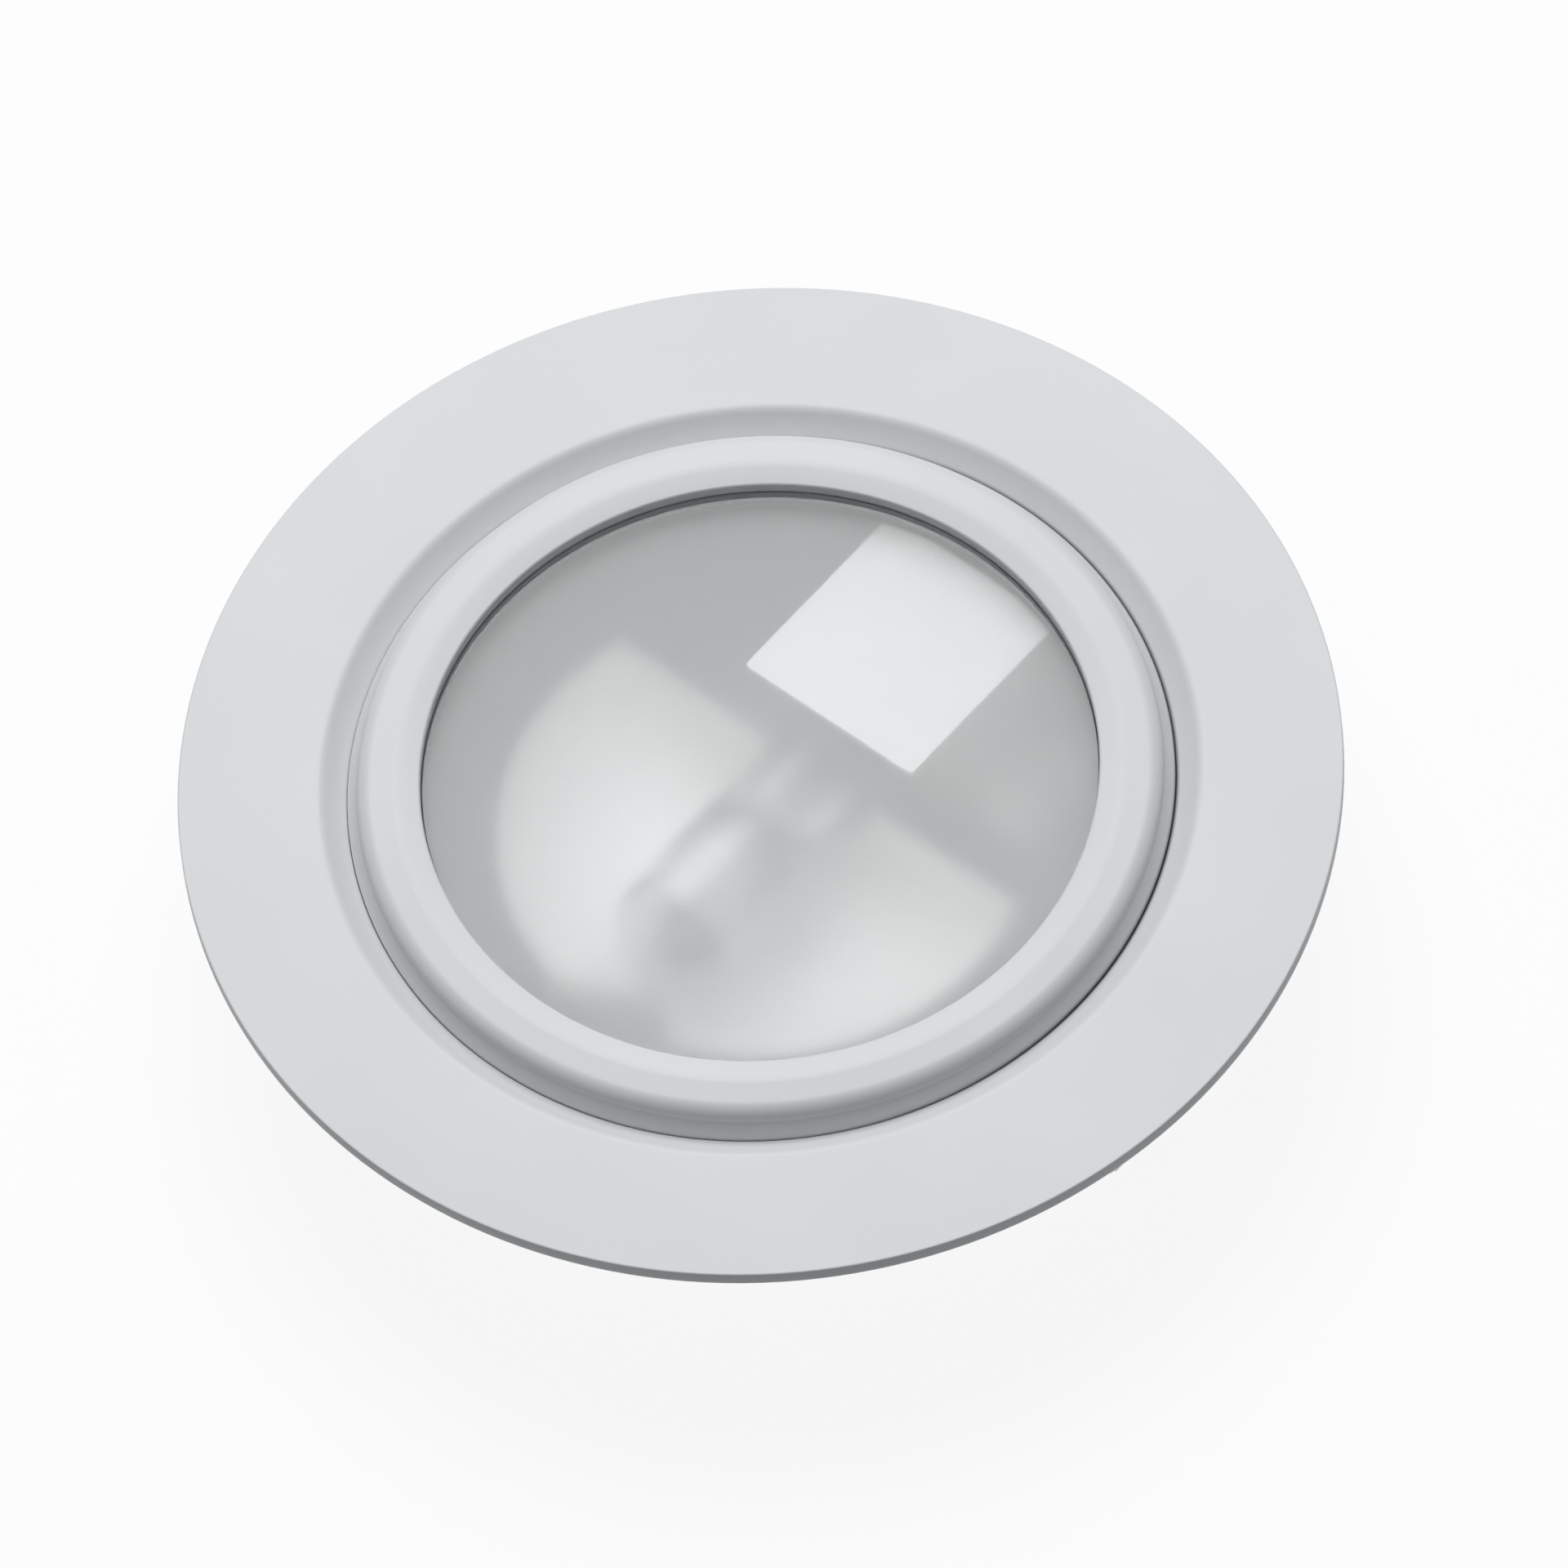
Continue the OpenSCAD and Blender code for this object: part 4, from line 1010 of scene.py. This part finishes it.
# %% Finishes of the nodes that stay
finishes = {
    "galvanised_steel": galvanised, "satin_aluminium": aluminium, "silicone": silicone,
    "spring_wire": spring_wire, "clip_steel": clip_steel, "plated_fasteners": fasteners,
    "steatite": steatite, "contact_brass": brass, "molybdenum": molybdenum}
for name, node in frame["nodes"].items():
    if node.hide_render:
        continue
    slot = node.material_slots[0].material.name.split(".")[0]
    node.material_slots[0].material = finishes[slot]
    print(name, "has", finishes[slot].name)

# %% [markdown]
# The floor is a pale studio table. The camera sees it nearly white, with the soft shadow of the
# light still on it, and so do shiny surfaces and glass: a share of it is plain white for those rays
# only. All other light meets an ordinary grey table, so little of it comes back up under the rim.
# Right under the can the table stays in its shadow, so the vents look dark through the glass.

# %% Floor
FLOOR_SIZE = 6.0
WHITE_SHARE = 0.9
SHADE_INSET, SHADE_BLEND = 2, 1
SHADED_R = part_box("rear_can")[1].x / MM - SHADE_INSET


def seen_directly(start):
    """1 for rays from the camera, and for those that shiny surfaces and glass send on."""
    path = start.node("ShaderNodeLightPath", {}, {}, "Is Camera Ray")
    outputs = path.socket.node.outputs
    shiny = path.math("MAXIMUM", path, Signal(path.tree, outputs["Is Glossy Ray"]))
    return path.math("MAXIMUM", shiny, Signal(path.tree, outputs["Is Transmission Ray"]))


def studio_floor():
    bpy.ops.mesh.primitive_plane_add(size=FLOOR_SIZE, location=(0, 0, cad_low.z))
    floor = bpy.context.object
    floor.name = "studio_floor"
    paper, shader, place = start_finish("floor_paper")
    seen = seen_directly(place)
    pale = tint(cloud(place, 30), paint(255, 255, 255), paint(252, 252, 252))
    dress(shader, tint(seen, paint(150, 150, 150), pale), 0.7 + cloud(place, 4) * 0.1)
    tree = paper.node_tree
    white = place.node("ShaderNodeEmission", {}, {"Color": (1, 1, 1, 1), "Strength": 1.0})
    main = Signal(tree, shader.outputs[0])
    open_table = step_between(from_axis(place), SHADED_R, SHADED_R + SHADE_BLEND)
    layers = {0: seen * open_table * WHITE_SHARE, 1: main, 2: white}
    mixed = place.node("ShaderNodeMixShader", {}, layers)
    place.feed(tree.nodes["Material Output"].inputs["Surface"], mixed)
    floor.data.materials.append(paper)
    floor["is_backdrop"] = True
    return floor


floor = studio_floor()
print("floor at", round(floor.location.z / MM, 2), "mm")

# %% [markdown]
# The camera. The rings of the light appear as ellipses, and their width and height give the angle
# of view: a camera far away, 57 degrees above the face, turned an eighth of a turn from the lamp
# and rolled a little. The size of the outer ellipse in the picture gives the lens.

# %% Camera
IMAGE_SIDE = 1920
AZIMUTH = math.radians(-45.0)
ELEVATION = math.radians(57.45)
ROLL = math.radians(6.76)
DISTANCE = 4.0
SENSOR = 36.0
SIGHT = 20
FLANGE_ACROSS_PX = 1430.4
CENTRE_PX = (932.7, 968.2)


def studio_camera():
    back = Vector((math.sin(AZIMUTH) * math.cos(ELEVATION), -math.cos(AZIMUTH) * math.cos(ELEVATION),
                   math.sin(ELEVATION)))
    level = Vector((math.cos(AZIMUTH), math.sin(AZIMUTH), 0))
    rise = back.cross(level)
    right = level * math.cos(ROLL) - rise * math.sin(ROLL)
    up = level * math.sin(ROLL) + rise * math.cos(ROLL)
    px_per_m = FLANGE_ACROSS_PX / (2 * FLANGE_R * MM)
    aim = (right * (IMAGE_SIDE / 2 - CENTRE_PX[0]) + up * (CENTRE_PX[1] - IMAGE_SIDE / 2)) / px_per_m
    data = bpy.data.cameras.new("studio_camera")
    data.sensor_width = SENSOR
    data.lens = px_per_m * DISTANCE * SENSOR / IMAGE_SIDE
    data.clip_end = SIGHT
    camera = bpy.data.objects.new("studio_camera", data)
    bpy.context.scene.collection.objects.link(camera)
    turned = Matrix((right, up, back)).transposed().to_4x4()
    camera.matrix_world = Matrix.Translation(aim + back * DISTANCE) @ turned
    bpy.context.scene.camera = camera
    return camera, back


camera, view_back = studio_camera()
print("lens", round(camera.data.lens, 1), "mm at", DISTANCE, "m")

# %% [markdown]
# The light in the picture comes from a large soft source high up behind the object: walls that face
# the camera are dark, and slopes that face away are as bright as the flat rim. A weak, slightly
# cool world fills the shadows.

# %% Studio light
KEY_ELEVATION = math.radians(56)
KEY_DISTANCE = 1.2
KEY_SIZE = 1.1
KEY_POWER = 12.4
WORLD_LEVEL = 0.18
COOL_FILL = (0.9, 0.99, 1.02, 1)


def soft_box(name, direction, distance, size, power):
    data = bpy.data.lights.new(name, "AREA")
    data.shape = "DISK"
    data.size = size
    data.energy = power
    lamp = bpy.data.objects.new(name, data)
    bpy.context.scene.collection.objects.link(lamp)
    lamp.location = direction.normalized() * distance
    lamp.rotation_euler = direction.to_track_quat("Z", "Y").to_euler()
    return lamp


def studio_world():
    world = bpy.data.worlds.new("studio_world")
    world.use_nodes = True
    bpy.context.scene.world = world
    start = Signal(world.node_tree)
    seen = seen_directly(start)
    sky = world.node_tree.nodes["Background"]
    start.feed(sky.inputs["Color"], tint(seen, COOL_FILL, (1, 1, 1, 1)))
    start.feed(sky.inputs["Strength"], WORLD_LEVEL + seen * (1 - WORLD_LEVEL))


away = Vector((-view_back.x, -view_back.y, 0)).normalized()
key_way = away * math.cos(KEY_ELEVATION) + Vector((0, 0, math.sin(KEY_ELEVATION)))
key = soft_box("key_soft_box", key_way, KEY_DISTANCE, KEY_SIZE, KEY_POWER)
studio_world()
bpy.context.scene.view_settings.view_transform = "Standard"
print("key light", round(key.data.energy, 1), "W, world", WORLD_LEVEL)

# %% Sizes and the end
new_low, new_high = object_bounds()
growth = (new_high - new_low) - (cad_high - cad_low)
print("box grew by", [round(g / MM, 3) for g in growth], "mm")
